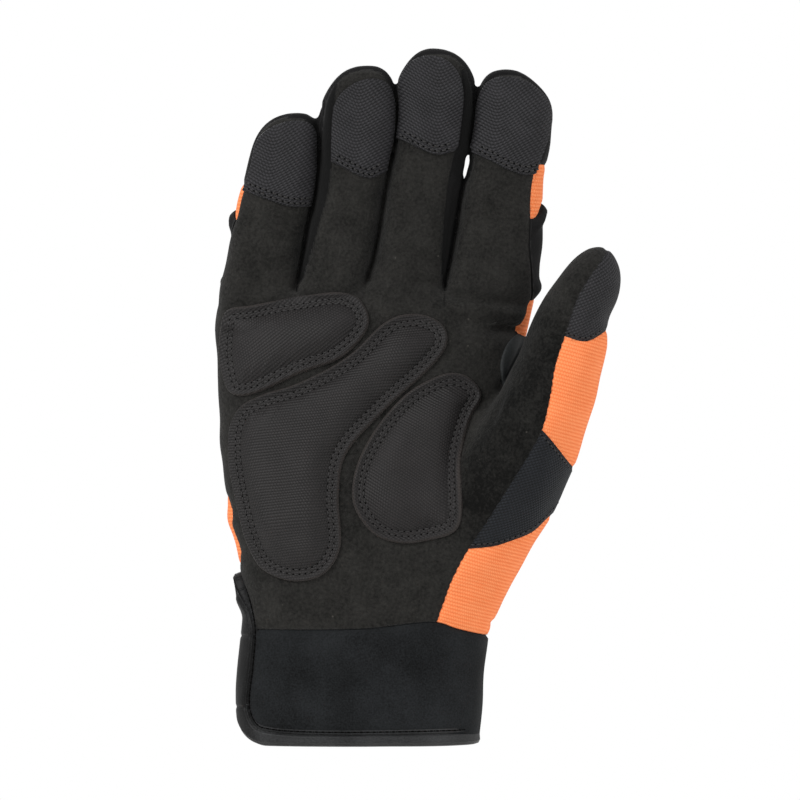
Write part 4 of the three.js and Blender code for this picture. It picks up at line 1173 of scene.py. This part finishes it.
# %% Small patch in the fold beside the thumb
CROTCH_PATCH = smooth_line([(57, 147.5), (52, 143.6), (49.8, 136.4), (50.9, 129.2), (52.4, 125.5), (57, 130),
                            (62, 138), (62.5, 146)], 1.0, closed=True)
CROTCH_FRONT = -14.5  # the patch ends where the thumb's skin comes nearer to the eye than this, mm
CROTCH_THICK = 0.6  # mm
skin = keep(form, lambda at: most(side_seam(at), -within(CROTCH_PATCH, at), CROTCH_FRONT - at[:, 1]))
piece = panel("fold_patch", skin, FACING, **ON_SKIN,
              outward=lambda at: rounded_rim(within(CROTCH_PATCH, at), CROTCH_THICK))
sewn(piece, "stretch", "crotch_patch")

# %% [markdown]
# ## Cuff, binding and strap
# The cuff is foam-backed neoprene. A folded tape binds its lower edge and the edges of the slit, and a
# strap sewn inside the slit's near edge passes through it and closes round the back.

# %% Cuff
CUFF_WALL = 2.4  # mm
CUFF_INSET, TAPE_INSET = 1.2, 1.0  # how far above the lower edge the neoprene and the tape's skin end, mm
cuff_skin = keep(form, lambda at: most(above_cuff(at), past_corner(at, CUFF_INSET), in_slit(at)))
sewn(panel("cuff_band", cuff_skin, NEOPRENE, CUFF_WALL, tuck=1.4, tuck_wide=0.9, bulge=0.2), "neoprene",
     "cuff")

# %% Binding
TAPE_OVER = 0.95  # how far the tape stands off the neoprene, mm
TAPE_FLARE = 2.3  # how much further it stands off at its upper end beside the slit, mm
TAPE_TOP = 63.2  # where the tape ends above the slit, mm
TAPE_ROW = 0.55  # how far inside the tape's edge its stitches run, mm
FOLD_MARKS = (38.5, 13.0)  # the heights where the tape is creased beside the slit, mm
binding_skin = keep(form, lambda at: most(-beside(binding_line, at), past_corner(at, TAPE_INSET),
                                          in_slit(at), at[:, 2] - TAPE_TOP))
binding_skin = ringed(finer(binding_skin), lambda at: beside(binding_line, at), (0.2, TAPE_ROW, 0.9, 1.5))


def binding_lift(at):
    """The tape stands off the neoprene, is pulled in at its stitches, and flares at its upper end."""
    flare = TAPE_FLARE * near_step(at[:, 2], 44.5, 52.5) * near_step(-at[:, 0], 38, 43)
    inside = np.abs(beside(binding_line, at))
    pulled = TAPE_OVER * groove(inside, TAPE_ROW, 0.4) * (at[:, 1] < 0)
    roll = 0.35 * groove(inside, 3.4, 1.2) * near_step(at[:, 0], -38, -30)
    creased = 0.35 * sum(groove(at[:, 2], level, 0.6) for level in FOLD_MARKS)
    flush = TAPE_OVER * near_step(at[:, 0], 30, 40)  # at the thumb's side it lies level with the neoprene
    return TAPE_OVER + flare + roll - pulled - creased * (at[:, 0] < -37) - flush


# Painted shade: the tape is drawn darker from x -34 mm outwards on the little finger's side.
sewn(panel("edge_binding", binding_skin, TAPE, CUFF_WALL + TAPE_OVER, outward=binding_lift, tuck=0,
           bulge=1.7, marks={"painted_shade": lambda at: near_step(-at[:, 0], 34, 41)}), "tape", "cuff_binding")

# %% Strap
STRAP = dict(foot=13.0, top=38.0, end=14.0, corner=10.0)  # its edges, end and rounded corners, mm
STRAP_UNDER, STRAP_RISE = -1.2, 3.6  # how deep in the slit it starts, and how much it rises from there, mm


def off_strap(at):
    """Below 0 on the strap, which starts in the slit and ends round on the back."""
    x, y, z = at.T
    half = (STRAP["top"] - STRAP["foot"]) / 2
    dx = x - (STRAP["end"] - STRAP["corner"])
    dz = np.abs(z - (STRAP["foot"] + half)) - (half - STRAP["corner"])
    end = np.where((dx > 0) & (dz > 0), np.hypot(dx, dz) - STRAP["corner"],
                   np.maximum(dx, dz) - STRAP["corner"])
    return np.maximum(end, SLIT["near"] + 0.6 - y)


def strap_lift(at):
    """The strap comes up through the slit and lies on the cuff's back."""
    t = np.clip((at[:, 1] - SLIT["near"]) / 6.5, 0, 1)
    return STRAP_UNDER + STRAP_RISE * t * t * (3 - 2 * t)


sewn(panel("closing_strap", keep(form, off_strap), TAPE, 0.0, tuck=0, bulge=0.4, outward=strap_lift), "tape",
     "wrist_strap")

# %% [markdown]
# ## Stitches
# Hundreds of equal stitches follow the seams, which is work for Geometry Nodes. A row is a line laid on the
# finished pieces. The tree puts a small thread bead at equal steps along it, turned along the line. The
# same tree sets the dark needle holes, half a step on: near-black beads of painted shade.

# %% The stitch tree
SEGMENTS, RINGS = 6, 4  # of one bead, which is too small for more


def stitch_tree():
    """A node tree that sets beads along a line of edges."""
    tree = bpy.data.node_groups.new("stitch row", "GeometryNodeTree")
    tree.is_modifier = True
    for name, kind in (("Path", "Geometry"), ("Spacing", "Float"), ("Length", "Float"),
                       ("Thickness", "Float"), ("Cloth", "Material")):
        tree.interface.new_socket(name, in_out="INPUT", socket_type="NodeSocket" + kind)
    tree.interface.new_socket("Stitches", in_out="OUTPUT", socket_type="NodeSocketGeometry")
    given = add(tree, "NodeGroupInput").outputs
    row = add(tree, "GeometryNodeMeshToCurve", {"Mesh": given["Path"]})
    steps = add(tree, "GeometryNodeCurveToPoints", {"Curve": row, "Length": given["Spacing"]}, mode="LENGTH")
    turned = add(tree, "FunctionNodeAlignRotationToVector", {"Vector": steps.outputs["Tangent"]}, axis="Z")
    bead = add(tree, "GeometryNodeMeshUVSphere", {"Segments": SEGMENTS, "Rings": RINGS, "Radius": 1.0})
    size = add(tree, "ShaderNodeCombineXYZ", {"X": given["Thickness"], "Y": given["Thickness"],
                                              "Z": given["Length"]})
    shaped = add(tree, "GeometryNodeTransform", {"Geometry": bead, "Scale": size})
    placed = add(tree, "GeometryNodeInstanceOnPoints", {"Points": steps, "Instance": shaped,
                                                        "Rotation": turned})
    real = add(tree, "GeometryNodeRealizeInstances", {"Geometry": placed})
    soft = add(tree, "GeometryNodeSetShadeSmooth", {"Geometry": real})
    coated = add(tree, "GeometryNodeSetMaterial", {"Geometry": soft, "Material": given["Cloth"]})
    add(tree, "NodeGroupOutput", {"Stitches": coated})
    return tree


STITCHES = stitch_tree()
inputs_of = {item.name: item.identifier for item in STITCHES.interface.items_tree if item.in_out == "INPUT"}
print("stitch tree inputs:", list(inputs_of))


# %% Lay a line on a piece
IN_FRONT = -0.1  # where the lines are dropped from, towards the back, m


def shifted(line, distance, closed=False):
    """A line moved sideways, to the left of its direction."""
    ahead, behind = np.roll(line, -1, 0), np.roll(line, 1, 0)
    if not closed:
        ahead[-1], behind[0] = line[-1], line[0]
    run = ahead - behind
    run /= np.linalg.norm(run, axis=1)[:, None]
    return line + distance * np.stack([-run[:, 1], run[:, 0]], 1)


def inner_side(outline):
    """1 where a closed outline's inside is on the left of its direction, and -1 where it is on the right."""
    x, z = shifted(outline, 1.0, True)[0]
    return 1 if within(outline, np.array([[x, 0, z]]))[0] > 0 else -1


def surface_of(name):
    """A piece's faces in the form that lines are dropped on."""
    mesh = pieces[name].data
    corners = [v.co.copy() for v in mesh.vertices]
    return BVHTree.FromPolygons(corners, [list(p.vertices) for p in mesh.polygons])


def laid(surface, line, lift=0.0):
    """The points of a line dropped on a surface, seen from the palm, and lifted by so many mm."""
    found = []
    for x, z in line:
        place, normal, _, _ = surface.ray_cast((x * MM, IN_FRONT, z * MM), (0, 1, 0))
        if place is not None:
            found.append(np.array(place + normal * lift * MM))
    return np.array(found)


def stepped(line, start, closed):
    """The same line started start metres further on. An open line ends that much earlier too."""
    if closed:
        line = np.concatenate([line, line[:1]])
    reach = np.r_[0, np.cumsum(np.linalg.norm(np.diff(line, axis=0), axis=1))]
    if closed:
        at = ((np.linspace(0, reach[-1], len(line) * 2) + start) % reach[-1])[:-1]
    else:
        at = np.linspace(start, reach[-1] - start, len(line) * 2)
    return np.stack([np.interp(at, reach, line[:, k]) for k in range(3)], 1)


# %% Turn lines into stitches
HOLE_LONG = 0.65  # a needle hole along its row, mm


def beads(name, rows, spacing, length, thickness, cloth, start, closed):
    """One mesh of beads along several rows, all sizes in mm."""
    points, links = [], []
    for row in rows:
        row = stepped(row, start * MM, closed)
        first = len(points)
        points += row.tolist()
        links += [(first + k, first + k + 1) for k in range(len(row) - 1)]
    mesh = bpy.data.meshes.new(name)
    mesh.from_pydata(points, links, [])
    path = put(name + "_path", mesh)
    modifier = path.modifiers.new("stitches", "NODES")
    modifier.node_group = STITCHES
    sizes = {"Spacing": spacing * MM, "Length": length / 2 * MM, "Thickness": thickness * MM, "Cloth": cloth}
    for key, value in sizes.items():
        modifier[inputs_of[key]] = value
    made = bpy.data.meshes.new_from_object(path.evaluated_get(bpy.context.evaluated_depsgraph_get()))
    bpy.data.objects.remove(path)
    piece = put(name, made)
    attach(piece, "root")
    return piece


def stitch(name, rows, spacing=2.3, length=1.8, thickness=0.3, hole=0.27, closed=False,
           cloth=THREAD):
    """Thread beads, and near-black beads of painted shade for the needle holes, along rows of points in
    metres.
    """
    thread = beads(name + "_thread", rows, spacing, length, thickness, cloth, 0, closed)
    # Near-black beads half a step on: painted shade in the needle holes.
    holes = beads(name + "_holes", rows, spacing, HOLE_LONG, hole, HOLE_SHADE, spacing / 2, closed)
    print(name, len(thread.data.polygons) // (SEGMENTS * RINGS), "stitches")


# %% Rows on the pads and the fingertip patches
ON_CLOTH = 0.05  # how far the threads of these rows stand off the cloth, mm
for name, outline in pad_outlines.items():
    surface, way = surface_of(name + "_cushion"), inner_side(outline)
    rows = [laid(surface, shifted(outline, way * row, True), ON_CLOTH) for row in PAD_ROWS]
    stitch(name + "_rows", rows, closed=True)
for name, foot in patch_feet.items():
    surface = surface_of("fingertip_patch_" + name)
    rows = [laid(surface, shifted(foot, row)[1:-1], ON_CLOTH) for row in PATCH_ROWS]
    stitch(f"fingertip_{name}_rows", rows, spacing=2.1, length=1.7, thickness=0.38, hole=0.36)

# %% Rows on the binding, the thumb cap and the saddle
SEAM_ROW = 1.4  # how far from the edge of the thumb's patches their rows run, mm
row = laid(surface_of("edge_binding"), shifted(binding_line, -TAPE_ROW)[2:-1])
stitch("binding_row", [row[row[:, 1] < 0]], cloth=HOLE_SHADE)  # dark threads sunk in the tape, drawn in the near-black of the painted shade in needle holes
for label, name, line, aside in (
        ("thumb_tip_cap_row", "thumb_tip_cap", cap_line, SEAM_ROW),
        ("thumb_saddle_patch_row", "thumb_saddle_patch", saddle_foot_line, SEAM_ROW),
        ("thumb_saddle_patch_upper_row", "thumb_saddle_patch", saddle_top_line, -SEAM_ROW)):
    stitch(label, [laid(surface_of(name), shifted(line, aside))], spacing=2.1, length=1.6)
